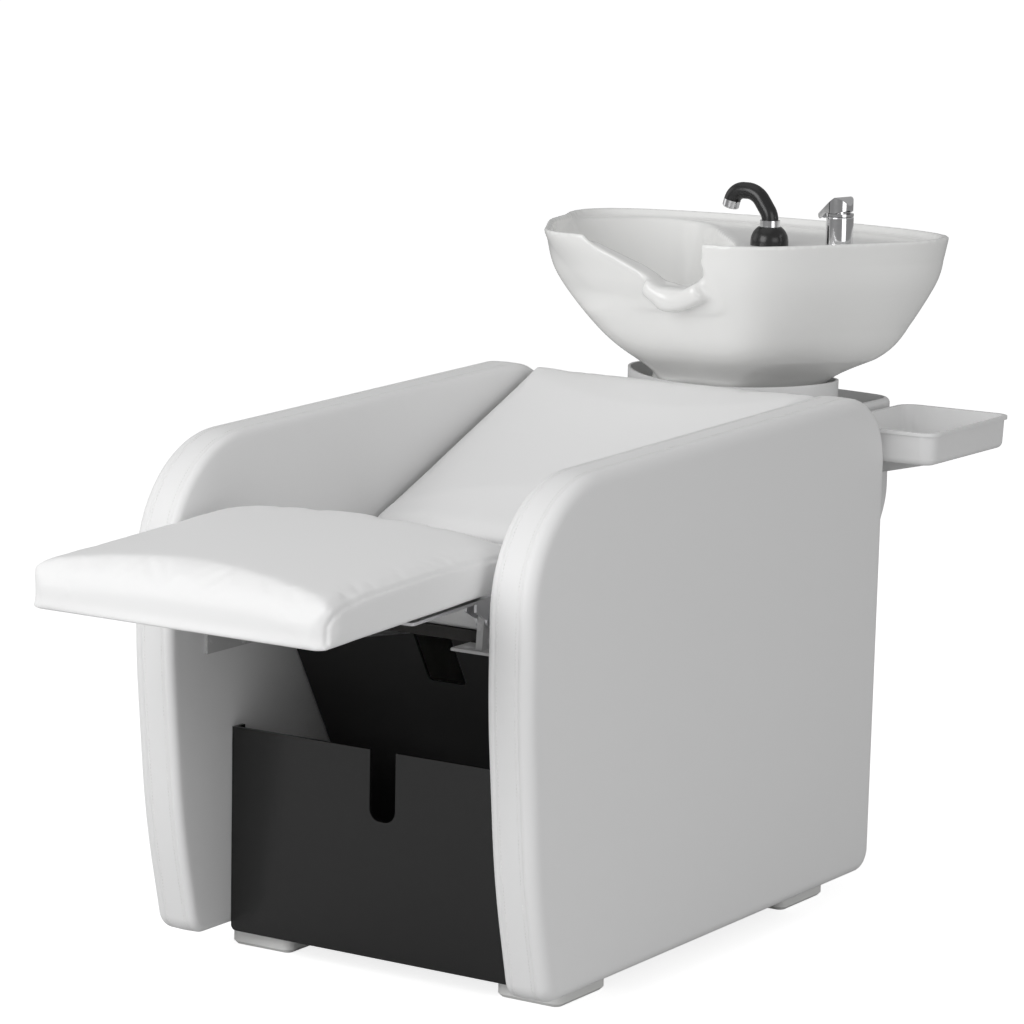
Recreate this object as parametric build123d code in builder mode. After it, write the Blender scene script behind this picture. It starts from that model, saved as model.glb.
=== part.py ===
"""Hair washing bed: reclined seat between two upholstered side panels, with a powered
leg rest in front and a tilting ceramic basin on a column behind.

Millimetres, +Z up, +Y towards the basin. Everything is drawn with the floor at Z = 0, the
middle of the seat at X = 0 and the front of the side panels at Y = 0. The last lines move
the whole object so that its footprint is centred on the origin.
"""
from build123d import *
from math import atan2, cos, degrees, hypot, pi, radians, sin, tan
import os

os.makedirs("parts", exist_ok=True)

# Fits and clearances
soft_gap = 0.3
plate_gap = 0.5
pin_play = 0.05
overrun = 5.0

# Upholstered side panels
panel_span = 640.0
panel_thickness = 68.0
panel_length = 958.0
panel_ground = 36.0
panel_front_height = 722.0
panel_rear_height = 748.0
panel_toe_back = 60.0
panel_shin_back = 22.0
panel_shin_height = 200.0
panel_knee_height = 430.0
panel_toe_radius = 30.0
panel_belly_radius = 1100.0
panel_arm_radius = 172.0
panel_rear_radius = 104.0
panel_heel_back = 11.0
panel_heel_radius = 34.0
panel_edge_round = 17.0
panel_inner_round = 11.0
inner_x = panel_span / 2 - panel_thickness
inner_width = 2 * inner_x

# Feet
foot_width = 102.0
foot_length = 124.0
foot_outer_x = 271.0
foot_front_y = 164.0
foot_rear_y = 774.0
foot_corner = 14.0
foot_edge = 5.0
foot_bore = 9.0
foot_recess = 20.0
foot_recess_depth = 10.0
foot_x = foot_outer_x - foot_width / 2

# Base frame of rectangular steel tube
tube_width = 40.0
tube_height = 30.0
tube_wall = 2.0
tube_corner = 3.0
base_tube_end = 905.0
cross_rear_width = 80.0

# M8 bolts and their nuts
bolt = 8.0
bolt_head = 15.0
bolt_head_height = 5.0
bolt_grip = 26.0
nut_width = 13.0
nut_height = 6.5

# Glossy front cover
cover_y = 139.0
cover_wall = 5.0
cover_top = 317.0
cover_ground = 28.0
cover_flange = 18.0
cover_corner = 8.0
slot_corner = 6.0
slot_round = 17.0
slot_width = 42.0
slot_bottom = 219.0

# Black mechanism shield behind the front cover
shield_top_y = 252.0
shield_top_z = 459.0
shield_foot_y = 476.0
shield_wall = 4.0
shield_lip = 24.0
shield_window_width = 62.0
shield_window_depth = 74.0

# Seat brackets, seat board and cushion
seat_level = 489.0
bracket_plate = 4.0
bracket_reach = 104.0
bracket_front_y = 76.0
bracket_rear_y = 690.0
bracket_drop = 60.0
seat_board_thickness = 15.0
seat_front_y = 122.0
seat_rear_y = 440.0
seat_foam_front = 76.0
seat_foam_rear = 52.0
seat_crown = 12.0
cushion_side_gap = 3.0
cushion_round = 22.0
cushion_draw = 4.0
cushion_foot_round = 6.0
board_slot = 34.0
board_slot_end = 236.0

# Backrest
back_foot_y = 446.0
back_foot_z = 560.4
back_head_y = 893.0
back_head_z = 745.0
back_bulge = 13.0
back_foam = 62.0
back_board_thickness = 15.0
back_edge_round = 20.0
back_bracket_width = 30.0
back_bracket_drop = 34.0
back_bracket_start = 140.0
back_bracket_length = 250.0
back_end_y = 900.0
back_crown = 10.0

# Leg rest
hinge_y = 100.0
hinge_z = 530.0
hinge_x = 187.0
hinge_pin = 12.0
lug_thickness = 10.0
lug_radius = 13.0
lug_base = 34.0
pin_head = 18.0
pin_head_height = 3.0
fork_gap = 11.0
fork_plate = 4.0
fork_front_y = 62.0
fork_arm_length = 190.0
fork_arm_width = 44.0
leg_front_y = -332.0
leg_rear_y = 94.0
leg_width = 480.0
leg_bottom_front = 557.0
leg_bottom_rear = 574.0
leg_side_height = 54.0
leg_crown = 24.0
leg_nose_radius = 62.0
leg_corner = 34.0
leg_board_thickness = 9.0
leg_board_inset = 44.0
leg_board_rear_gap = 8.0
leg_fold = 88.0

# Leg rest actuator
rod_pin_y = 20.0
rod_pin_z = 500.0
rod_pin_diameter = 10.0
rod_diameter = 20.0
rod_eye = 13.0
rod_eye_width = 14.0
rod_neck = 46.0
rod_neck_height = 17.0
rod_length = 400.0
clevis_plate = 5.0
clevis_root = 70.0
clevis_head = 18.0
clevis_head_height = 7.0
tail_pin_y = 650.0
tail_pin_z = 430.0
sleeve_diameter = 38.0
sleeve_front_gap = 300.0
motor_diameter = 62.0
motor_length = 116.0
motor_round = 6.0
gearbox_length = 74.0
gearbox_width = 56.0
gearbox_height = 92.0
gearbox_top = 24.0
gearbox_round = 8.0
tail_neck = 24.0
stroke_margin = 12.0
cross_bar = 30.0

# Power unit on the base frame
power_width = 150.0
power_length = 100.0
power_height = 58.0
power_round = 6.0
inlet_width = 27.0
inlet_height = 19.0
inlet_depth = 16.0

# Column that carries the basin
column_width = 120.0
column_depth = 60.0
column_y = 845.0
column_wall = 3.0
column_corner = 8.0
column_plate = 8.0
column_plate_margin = 20.0
arm_width = 96.0
arm_wall = 3.0
arm_height = 55.0
arm_bottom = 560.0
arm_front_y = 800.0
arm_rear_y = 1118.0
tilt_y = 1070.0
tilt_z = 650.0
tilt_pin = 16.0
cheek_plate = 6.0
cheek_gap = 68.0
cheek_depth = 56.0
ear_plate = 6.0
ear_gap = 48.0
disc_diameter = 42.0
disc_gap = 0.1
tilt_head = 26.0
tilt_head_height = 6.0
saddle_top = 688.0
saddle_plate = 8.0
saddle_width = 126.0
saddle_depth = 80.0
saddle_bolt_x = 48.0
saddle_bolt = 8.0
saddle_bolt_head = 14.0
saddle_bolt_head_height = 5.0
saddle_bolt_y = 24.0
saddle_bolt_depth = 14.0
ear_radius = 22.0
pad_thickness = 4.0

# Rear cover and column casing
rear_cover_wall = 5.0
rear_cover_top = 690.0
rear_cover_ground = 60.0
arm_clearance = 6.0
casing_half = 204.0
casing_top = 700.0
casing_corner_y = 1206.0
casing_bow = 26.0
casing_waist_z = 640.0
casing_foot_z = 120.0
casing_foot_y = 948.0
casing_wall = 4.0
casing_corner = 44.0
casing_brow = 8.0
casing_haunch = 60.0
well_depth = 47.0
well_inset = 8.0
well_floor = 4.0
well_hole_margin = 8.0

# Oval collar under the basin
collar_x = 8.0
collar_half_x = 172.0
collar_half_y = 108.0
collar_y = 1044.0
collar_wall = 4.0
collar_low = 676.0
collar_floor = 3.0
collar_rim = 729.0
collar_saddle = 8.0

# Ceramic basin
rim_z = 955.0
basin_front_y = 808.0
basin_depth = 432.0
basin_half = 319.0
belly_y = 1040.0
lip_width = 14.0
deck_drop = 12.0
glaze_wall = 13.0
bowl_bottom = 748.0
waste_x = -68.0
waste_y = 1000.0
cavity_left = 120.0
cavity_front_y = 880.0
service_width = 170.0
service_height = 66.0
service_x = 40.0
service_z = 812.0
service_reach = 90.0
service_round = 20.0
notch_half = 80.0
notch_z = 892.0
notch_corner = 46.0
neck_roll_radius = 19.0
neck_roll_arc = 130.0
neck_roll_half_angle = 33.0
neck_roll_y = 821.0
waste_bore = 42.0
waste_flange = 54.0
waste_flange_height = 3.0
waste_boss = 68.0
waste_sump = 34.0
waste_bar = 3.0
waste_tail = 32.0
waste_tail_low = 612.0
waste_nut = 50.0
waste_nut_clearance = 8.0
waste_nut_height = 10.0

# Handset and its holder
handset_x = 112.0
handset_y = 960.0
holder_diameter = 56.0
holder_height = 27.0
holder_bore = 24.0
holder_stem = 26.0
holder_stem_length = 45.0
holder_neck = 34.0
holder_flange = 4.0
holder_nut = 40.0
holder_nut_height = 8.0
handset_heading = 180.0
handset_grip = 24.6
handset_stem = 22.0
handset_root_radius = 24.0
handset_lean = 35.0
handset_shaft = 17.6
handset_bend_radius = 30.0
handset_level = 6.0
handset_nose_radius = 20.0
handset_nose_turn = 75.0
handset_ring = 30.0
handset_ring_length = 9.0
spray_diameter = 25.0
spray_length = 12.0
spray_edge = 2.0

# Single-lever mixer tap
tap_x = 214.0
tap_y = 986.0
tap_diameter = 40.0
tap_height = 46.0
tap_gasket = 2.0
tap_shank = 24.0
tap_shank_length = 40.0
tap_nut = 36.0
tap_heading = 168.0
tap_cap_height = 4.0
tap_neck = 19.0
tap_neck_height = 9.0
tap_pin = 4.0
tap_pin_length = 33.0
tap_pin_back = 5.0
tap_pin_rise = 4.5
tap_lever_width = 38.0
tap_lever_tip = 14.0
tap_lever_reach = 33.0
tap_lever_crown = 24.0
tap_lever_crown_back = 4.0
tap_lever_shoulder = 10.0
tap_lever_heel = 5.4
tap_lever_lip = 5.0
tap_lever_tip_low = 10.0
tap_lever_pocket = 26.0
tap_lever_pocket_height = 11.0
tap_lever_loop = 13.0
tap_lever_loop_front = 9.0
tap_lever_loop_start = 23.0
tap_lever_loop_end = 30.0

# Side tray
tray_width = 182.0
tray_length = 259.0
tray_front_y = 953.0
tray_top = 690.0
tray_depth = 49.0
tray_wall = 3.0
tray_corner = 22.0
tray_taper = 3.0
tray_rim = 4.0
tray_rim_height = 5.0
tray_side_gap = 10.0
tray_floor_round = 10.0
tray_arm = 4.0
tray_arm_length = 140.0
tray_arm_root = 44.0
tray_arm_tip = 10.0
tray_arm_pitch = 110.0


pieces = {}


def yz_plane(x=0):
    """Upright plane across the seat's middle: sketch axes along Y and Z, normal +X."""
    return Plane(origin=(x, 0, 0), x_dir=(0, 1, 0), z_dir=(1, 0, 0))


def xz_plane(y=0):
    """Upright plane facing the front: sketch axes along X and Z, normal -Y."""
    return Plane(origin=(0, y, 0), x_dir=(1, 0, 0), z_dir=(0, -1, 0))


# Places of the bolts that fasten the side panels, as (Y, Z)
tube_low = panel_ground
tube_top = panel_ground + tube_height
tube_start_y = cover_y + cover_wall
cross_front_y = shield_foot_y - shield_wall
bracket_inner_x = inner_x - bracket_plate
bracket_low = seat_level - bracket_drop
bolt_pitch = (bracket_rear_y - bracket_front_y) / 3
bracket_bolts_at = [
    (bracket_front_y + bolt_pitch * (step + 0.5), seat_level - bracket_drop / 2) for step in range(3)
]
tube_bolts_at = [
    (foot_front_y + foot_length + tube_width, tube_low + tube_height / 2),
    ((cross_front_y + base_tube_end) / 2, tube_low + tube_height / 2),
    (foot_rear_y - tube_width, tube_low + tube_height / 2),
]
back_angle = atan2(back_head_z - back_foot_z, back_head_y - back_foot_y)
back_depth = back_foam + back_board_thickness
board_foot_y = back_foot_y + back_depth * sin(back_angle)
board_foot_z = back_foot_z - back_depth * cos(back_angle)


def under_back(along, below=0):
    """Point (Y, Z) under the back board, a distance up the slope and a distance below it."""
    return (
        board_foot_y + along * cos(back_angle) + below * sin(back_angle),
        board_foot_z + along * sin(back_angle) - below * cos(back_angle),
    )


back_bolts_at = [
    under_back(back_bracket_start + back_bracket_length * share, back_bracket_drop / 2)
    for share in (1 / 6, 5 / 6)
]
bolt_hole = bolt / 2 + pin_play

# Side panels
panel_points = (
    (panel_toe_back, panel_ground),
    (panel_shin_back, panel_shin_height),
    (0, panel_knee_height),
    (0, panel_front_height),
    (panel_length, panel_rear_height),
    (panel_length - panel_heel_back, panel_ground),
)
panel_radii = [
    panel_toe_radius,
    panel_belly_radius,
    panel_belly_radius,
    panel_arm_radius,
    panel_rear_radius,
    panel_heel_radius,
]
for side, sign in (("left", -1), ("right", 1)):
    with BuildPart() as side_panel:
        with BuildSketch(yz_plane(sign * inner_x)):
            with BuildLine():
                FilletPolyline(*panel_points, radius=panel_radii, close=True)
            make_face()
        extrude(amount=sign * panel_thickness)
        outer_face = side_panel.faces().sort_by(Axis.X)[-1 if sign > 0 else 0]
        inner_face = side_panel.faces().sort_by(Axis.X)[0 if sign > 0 else -1]
        fillet(outer_face.edges(), panel_edge_round)
        inner_face = side_panel.faces().sort_by(Axis.X)[0 if sign > 0 else -1]
        fillet(inner_face.edges(), panel_inner_round)
        with BuildSketch(yz_plane(sign * inner_x)):
            with Locations(*bracket_bolts_at, *tube_bolts_at, *back_bolts_at):
                Circle(bolt_hole)
        extrude(amount=sign * bolt_grip, mode=Mode.SUBTRACT)
    pieces[f"side_panel_{side}"] = side_panel

# Feet, each with a recessed bolt hole
foot_places = {}
for end, foot_y in (("front", foot_front_y), ("rear", foot_rear_y)):
    for side, sign in (("left", -1), ("right", 1)):
        foot_places[f"foot_{end}_{side}"] = (sign * foot_x, foot_y + foot_length / 2)
foot_bolt_x = inner_x - tube_width / 2
for name, (x, y) in foot_places.items():
    bolt_x = foot_bolt_x if x > 0 else -foot_bolt_x
    with BuildPart() as foot:
        with BuildSketch():
            with Locations((x, y)):
                RectangleRounded(foot_width, foot_length, foot_corner)
        extrude(amount=panel_ground)
        chamfer(foot.faces().sort_by(Axis.Z)[0].edges(), foot_edge)
        with BuildSketch():
            with Locations((bolt_x, y)):
                Circle(foot_bore / 2)
        extrude(amount=panel_ground, mode=Mode.SUBTRACT)
        with BuildSketch():
            with Locations((bolt_x, y)):
                Circle(foot_recess / 2)
        extrude(amount=foot_recess_depth, mode=Mode.SUBTRACT)
    pieces[name] = foot

# Bolts up through the feet into the base tubes, each with its nut
with BuildPart() as foot_bolts:
    foot_bolt_places = [(foot_bolt_x if x > 0 else -foot_bolt_x, y) for x, y in foot_places.values()]
    with BuildSketch(Plane.XY.offset(foot_recess_depth)):
        with Locations(*foot_bolt_places):
            Circle(bolt_head / 2)
    extrude(amount=-bolt_head_height)
    with BuildSketch(Plane.XY.offset(foot_recess_depth)):
        with Locations(*foot_bolt_places):
            Circle(bolt / 2)
    extrude(amount=tube_low + tube_wall + nut_height + plate_gap - foot_recess_depth)
    with BuildSketch(Plane.XY.offset(tube_low + tube_wall)):
        with Locations(*foot_bolt_places):
            RegularPolygon(nut_width / 2, 6, major_radius=False)
            Circle(bolt_hole, mode=Mode.SUBTRACT)
    extrude(amount=nut_height)
pieces["foot_bolts"] = foot_bolts

# Base frame
for side, sign in (("left", -1), ("right", 1)):
    tube_x = sign * (inner_x - tube_width / 2)
    with BuildPart() as base_tube:
        with BuildSketch(xz_plane(tube_start_y)):
            with Locations((tube_x, tube_low + tube_height / 2)):
                RectangleRounded(tube_width, tube_height, tube_corner)
                Rectangle(tube_width - 2 * tube_wall, tube_height - 2 * tube_wall, mode=Mode.SUBTRACT)
        extrude(amount=tube_start_y - base_tube_end)
        with BuildSketch(yz_plane(tube_x)):
            with Locations(*tube_bolts_at):
                Circle(bolt_hole)
        extrude(amount=tube_width, both=True, mode=Mode.SUBTRACT)
        with BuildSketch(Plane.XY.offset(tube_low)):
            with Locations(*[(x, y) for x, y in foot_bolt_places if x * sign > 0]):
                Circle(bolt_hole)
        extrude(amount=tube_wall, mode=Mode.SUBTRACT)
    pieces[f"base_tube_{side}"] = base_tube

cross_reach = inner_width / 2 - tube_width
for name, width, centre_y in (
    ("base_cross_front", tube_width, cross_front_y + tube_width / 2),
    ("base_cross_rear", cross_rear_width, column_y),
):
    with BuildPart() as base_cross:
        with BuildSketch(yz_plane()):
            with Locations((centre_y, tube_low + tube_height / 2)):
                RectangleRounded(width, tube_height, tube_corner)
                Rectangle(width - 2 * tube_wall, tube_height - 2 * tube_wall, mode=Mode.SUBTRACT)
        extrude(amount=cross_reach, both=True)
    pieces[name] = base_cross

# Glossy cover across the front, with its open slot and its two side returns
with BuildPart() as front_cover:
    with BuildSketch(xz_plane(cover_y)):
        with BuildLine():
            FilletPolyline(
                (-inner_x + plate_gap, cover_ground),
                (inner_x - plate_gap, cover_ground),
                (inner_x - plate_gap, cover_top),
                (slot_width / 2, cover_top),
                (slot_width / 2, slot_bottom),
                (-slot_width / 2, slot_bottom),
                (-slot_width / 2, cover_top),
                (-inner_x + plate_gap, cover_top),
                radius=[cover_corner, cover_corner, 0, 0, slot_round, slot_round, 0, 0],
                close=True,
            )
        make_face()
    extrude(amount=-cover_wall)
    with BuildSketch(Plane.XY.offset(tube_top + plate_gap)):
        for sign in (-1, 1):
            flange_x = sign * (inner_x - plate_gap - cover_wall / 2)
            with Locations((flange_x, tube_start_y + cover_flange / 2)):
                Rectangle(cover_wall, cover_flange)
    extrude(amount=cover_top - tube_top - plate_gap)
pieces["front_cover"] = front_cover

# Sloping shield between the seat brackets and the front cross tube
shield_rise = shield_top_z - tube_top
shield_run = shield_foot_y - shield_top_y
shield_stretch = hypot(shield_rise, shield_run) / shield_rise


def shield_band(start, depth):
    """Outline (Y, Z) of a strip along the back of the shield's slope."""
    near = start * shield_stretch
    far = (start + depth) * shield_stretch
    return (
        (shield_top_y + near, shield_top_z),
        (shield_foot_y + near, tube_top),
        (shield_foot_y + far, tube_top),
        (shield_top_y + far, shield_top_z),
    )


with BuildPart() as mechanism_shield:
    with BuildSketch(yz_plane()):
        with BuildLine():
            Polyline(*shield_band(0, shield_wall), close=True)
        make_face()
    extrude(amount=bracket_inner_x, both=True)
    for sign in (-1, 1):
        with BuildSketch(yz_plane(sign * bracket_inner_x)):
            with BuildLine():
                Polyline(*shield_band(shield_wall, shield_lip), close=True)
            make_face()
        extrude(amount=-sign * shield_wall)
    with BuildSketch(xz_plane(shield_top_y - overrun)):
        with Locations((0, shield_top_z)):
            RectangleRounded(shield_window_width, 2 * shield_window_depth, slot_corner)
    extrude(amount=-shield_run, mode=Mode.SUBTRACT)
pieces["mechanism_shield"] = mechanism_shield

# Angle brackets along both panels, with the leg rest's hinge lugs standing on them
for side, sign in (("left", -1), ("right", 1)):
    lug_x = sign * hinge_x
    with BuildPart() as seat_bracket:
        with BuildSketch(xz_plane(bracket_front_y)):
            with BuildLine():
                Polyline(
                    (sign * inner_x, bracket_low),
                    (sign * inner_x, seat_level),
                    (sign * (inner_x - bracket_reach), seat_level),
                    (sign * (inner_x - bracket_reach), seat_level - bracket_plate),
                    (sign * bracket_inner_x, seat_level - bracket_plate),
                    (sign * bracket_inner_x, bracket_low),
                    close=True,
                )
            make_face()
        extrude(amount=bracket_front_y - bracket_rear_y)
        with BuildSketch(yz_plane(lug_x)):
            with BuildLine():
                Polyline(
                    (hinge_y - lug_base / 2, seat_level),
                    (hinge_y + lug_base / 2, seat_level),
                    (hinge_y + lug_radius, hinge_z),
                    (hinge_y - lug_radius, hinge_z),
                    close=True,
                )
            make_face()
            with Locations((hinge_y, hinge_z)):
                Circle(lug_radius)
        extrude(amount=lug_thickness / 2, both=True)
        with BuildSketch(yz_plane(lug_x)):
            with Locations((hinge_y, hinge_z)):
                Circle(hinge_pin / 2 + pin_play)
        extrude(amount=lug_thickness, both=True, mode=Mode.SUBTRACT)
        with BuildSketch(yz_plane(sign * inner_x)):
            with Locations(*bracket_bolts_at):
                Circle(bolt_hole)
        extrude(amount=-sign * 2 * bracket_plate, mode=Mode.SUBTRACT)
    pieces[f"seat_bracket_{side}"] = seat_bracket

# Cross bar between the brackets, with the clevis that holds the actuator's tail
tail_inner = rod_eye_width / 2 + plate_gap
bar_low = seat_level - bracket_plate - cross_bar
with BuildPart() as seat_cross_bar:
    with BuildSketch(yz_plane()):
        with Locations((tail_pin_y, bar_low + cross_bar / 2)):
            RectangleRounded(cross_bar, cross_bar, tube_corner)
            Rectangle(cross_bar - 2 * tube_wall, cross_bar - 2 * tube_wall, mode=Mode.SUBTRACT)
    extrude(amount=bracket_inner_x, both=True)
    for sign in (-1, 1):
        with BuildSketch(yz_plane(sign * tail_inner)):
            with Locations((tail_pin_y, (bar_low + tail_pin_z) / 2)):
                Rectangle(2 * rod_eye, bar_low - tail_pin_z)
            with Locations((tail_pin_y, tail_pin_z)):
                Circle(rod_eye)
            with Locations((tail_pin_y, tail_pin_z)):
                Circle(rod_pin_diameter / 2 + pin_play, mode=Mode.SUBTRACT)
        extrude(amount=sign * clevis_plate)
pieces["seat_cross_bar"] = seat_cross_bar

# Bolts from the inside into the panels
with BuildPart() as panel_bolts:
    for places, seat_x in (
        (bracket_bolts_at + back_bolts_at, bracket_inner_x),
        (tube_bolts_at, inner_x - tube_width),
    ):
        for sign in (-1, 1):
            with BuildSketch(yz_plane(sign * seat_x)):
                with Locations(*places):
                    Circle(bolt_head / 2)
            extrude(amount=-sign * bolt_head_height)
            with BuildSketch(yz_plane(sign * seat_x)):
                with Locations(*places):
                    Circle(bolt / 2)
            extrude(amount=sign * (inner_x - seat_x + bolt_grip - plate_gap))
pieces["panel_bolts"] = panel_bolts


def cushion(base, half_width, length, outline, radii, side_height, crown_height, corner):
    """Crowned pad on the base plane: a plan with drawn-in edges, cut to the side outline and to
    an arched cross-section. The base plane's X runs across the seat and its Y along the pad."""
    with BuildPart() as pad:
        with BuildSketch(base):
            with BuildLine():
                corners = (
                    (half_width, 0),
                    (half_width, length),
                    (-half_width, length),
                    (-half_width, 0),
                )
                middles = (
                    (half_width - cushion_draw, length / 2),
                    (0, length),
                    (-half_width + cushion_draw, length / 2),
                    (0, cushion_draw),
                )
                ThreePointArc(corners[0], middles[0], corners[1])
                Line(corners[1], corners[2])
                ThreePointArc(corners[2], middles[2], corners[3])
                ThreePointArc(corners[3], middles[3], corners[0])
            make_face()
            fillet(vertices(), corner)
        extrude(amount=crown_height + overrun)
        with BuildSketch(Plane(origin=base.origin, x_dir=base.y_dir, z_dir=base.x_dir)):
            with BuildLine():
                FilletPolyline(*outline, radius=radii, close=True)
            make_face()
        extrude(amount=half_width + overrun, both=True, mode=Mode.INTERSECT)
        with BuildSketch(Plane(origin=base.origin, x_dir=base.x_dir, z_dir=-base.y_dir)):
            with BuildLine():
                Line((-half_width, side_height), (-half_width, 0))
                Line((-half_width, 0), (half_width, 0))
                Line((half_width, 0), (half_width, side_height))
                ThreePointArc((half_width, side_height), (0, crown_height), (-half_width, side_height))
            make_face()
            lower = vertices().group_by(Axis.Z)[0]
            upper = vertices().group_by(Axis.Z)[-1]
            fillet(upper, cushion_round)
            fillet(lower, cushion_foot_round)
        extrude(amount=-length - overrun, mode=Mode.INTERSECT)
    return pad


# Seat board, slotted at the front for the actuator rod, and its cushion
seat_width = inner_width - 2 * cushion_side_gap
seat_length = seat_rear_y - seat_front_y
with BuildPart() as seat_board:
    with BuildSketch(Plane.XY.offset(seat_level)):
        with Locations((0, seat_front_y + seat_length / 2)):
            Rectangle(seat_width, seat_length)
        with Locations((0, (seat_front_y + board_slot_end) / 2)):
            Rectangle(board_slot, board_slot_end - seat_front_y, mode=Mode.SUBTRACT)
    extrude(amount=seat_board_thickness)
pieces["seat_board"] = seat_board

seat_top = Plane(origin=(0, seat_front_y, seat_level + seat_board_thickness), z_dir=(0, 0, 1))
pieces["seat_cushion"] = cushion(
    seat_top,
    seat_width / 2,
    seat_length,
    ((0, 0), (0, seat_foam_front), (seat_length, seat_foam_rear), (seat_length, 0)),
    [cushion_foot_round, cushion_round, cushion_round, cushion_foot_round],
    seat_foam_front - seat_crown,
    seat_foam_front,
    cushion_round,
)

# Back board and cushion, leaning over the column
back_reach = (back_end_y - back_foot_y - back_foam * sin(back_angle)) / cos(back_angle)
board_end_y = back_end_y
board_end_z = board_foot_z + (board_end_y - board_foot_y) * tan(back_angle)
back_lift = back_board_thickness / cos(back_angle)
with BuildPart() as back_board:
    with BuildSketch(yz_plane()):
        with BuildLine():
            Polyline(
                (board_foot_y, board_foot_z),
                (board_end_y, board_end_z),
                (board_end_y, board_end_z + back_lift),
                under_back(0, -back_board_thickness),
                close=True,
            )
        make_face()
    extrude(amount=seat_width / 2, both=True)
pieces["back_board"] = back_board

foam_foot_y, foam_foot_z = under_back(0, -back_board_thickness)
back_base = Plane(
    origin=(0, foam_foot_y, foam_foot_z),
    x_dir=(1, 0, 0),
    z_dir=(0, -sin(back_angle), cos(back_angle)),
)
back_top_length = back_reach + back_foam * tan(back_angle)
pieces["back_cushion"] = cushion(
    back_base,
    seat_width / 2,
    back_top_length,
    (
        (0, 0),
        (0, back_foam),
        (back_top_length / 2, back_foam + 2 * back_bulge),
        (back_top_length, back_foam),
        (back_reach, 0),
    ),
    [cushion_foot_round, back_edge_round, back_top_length, back_edge_round, cushion_foot_round],
    back_foam + back_bulge - back_crown,
    back_foam + back_bulge,
    cushion_round,
)

for side, sign in (("left", -1), ("right", 1)):
    with BuildPart() as back_bracket:
        bracket_end = back_bracket_start + back_bracket_length
        with BuildSketch(yz_plane(sign * inner_x)):
            with BuildLine():
                Polyline(
                    under_back(back_bracket_start),
                    under_back(bracket_end),
                    under_back(bracket_end, back_bracket_drop),
                    under_back(back_bracket_start, back_bracket_drop),
                    close=True,
                )
            make_face()
        extrude(amount=-sign * bracket_plate)
        with BuildSketch(yz_plane(sign * inner_x)):
            with BuildLine():
                Polyline(
                    under_back(back_bracket_start),
                    under_back(bracket_end),
                    under_back(bracket_end, bracket_plate),
                    under_back(back_bracket_start, bracket_plate),
                    close=True,
                )
            make_face()
        extrude(amount=-sign * back_bracket_width)
        with BuildSketch(yz_plane(sign * inner_x)):
            with Locations(*back_bolts_at):
                Circle(bolt_hole)
        extrude(amount=-sign * 2 * bracket_plate, mode=Mode.SUBTRACT)
    pieces[f"back_bracket_{side}"] = back_bracket

# Leg rest: everything hangs from the sloping underside of its cushion
leg_run = leg_rear_y - leg_front_y
leg_angle = atan2(leg_bottom_rear - leg_bottom_front, leg_run)
leg_length = hypot(leg_run, leg_bottom_rear - leg_bottom_front)
leg_base = Plane(
    origin=(0, leg_front_y, leg_bottom_front),
    x_dir=(1, 0, 0),
    z_dir=(0, -sin(leg_angle), cos(leg_angle)),
)
leg_height = leg_side_height + leg_crown
pieces["leg_cushion"] = cushion(
    leg_base,
    leg_width / 2,
    leg_length,
    ((0, 0), (0, leg_height), (leg_length, leg_height), (leg_length, 0)),
    [cushion_round / 2, leg_nose_radius, cushion_round, cushion_foot_round],
    leg_side_height,
    leg_height,
    leg_corner,
)

leg_board_half = leg_width / 2 - leg_board_inset
with BuildPart() as leg_board:
    with BuildSketch(leg_base):
        with Locations((0, (leg_board_inset + leg_length - leg_board_rear_gap) / 2)):
            RectangleRounded(
                2 * leg_board_half, leg_length - leg_board_inset - leg_board_rear_gap, cushion_round
            )
    extrude(amount=-leg_board_thickness)
pieces["leg_board"] = leg_board


def under_leg(y):
    """Height of the leg board's underside at a place along Y."""
    return leg_bottom_front + (y - leg_front_y) * tan(leg_angle) - leg_board_thickness / cos(leg_angle)


# Forks under the leg board that straddle the lugs
fork_rear_s = leg_length - leg_board_rear_gap
for side, sign in (("left", -1), ("right", 1)):
    with BuildPart() as leg_fork:
        with BuildSketch(leg_base.offset(-leg_board_thickness)):
            with Locations((sign * hinge_x, fork_rear_s - fork_arm_length / 2)):
                RectangleRounded(fork_arm_width, fork_arm_length, slot_corner)
        extrude(amount=-fork_plate)
        for cheek in (-1, 1):
            with BuildSketch(yz_plane(sign * hinge_x + cheek * fork_gap / 2)):
                with BuildLine():
                    Polyline(
                        (fork_front_y, under_leg(fork_front_y) - fork_plate / 2),
                        (fork_front_y, hinge_z + lug_radius),
                        (hinge_y - lug_radius, hinge_z),
                        (hinge_y + lug_radius, hinge_z),
                        (hinge_y + lug_radius, hinge_z + lug_radius),
                        (leg_rear_y - leg_board_rear_gap, under_leg(leg_rear_y) - fork_plate / 2),
                        close=True,
                    )
                make_face()
                with Locations((hinge_y, hinge_z)):
                    Circle(lug_radius)
            extrude(amount=cheek * fork_plate)
        with BuildSketch(yz_plane(sign * hinge_x)):
            with Locations((hinge_y, hinge_z)):
                Circle(hinge_pin / 2 + pin_play)
        extrude(amount=fork_gap, both=True, mode=Mode.SUBTRACT)
    pieces[f"leg_fork_{side}"] = leg_fork

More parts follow.
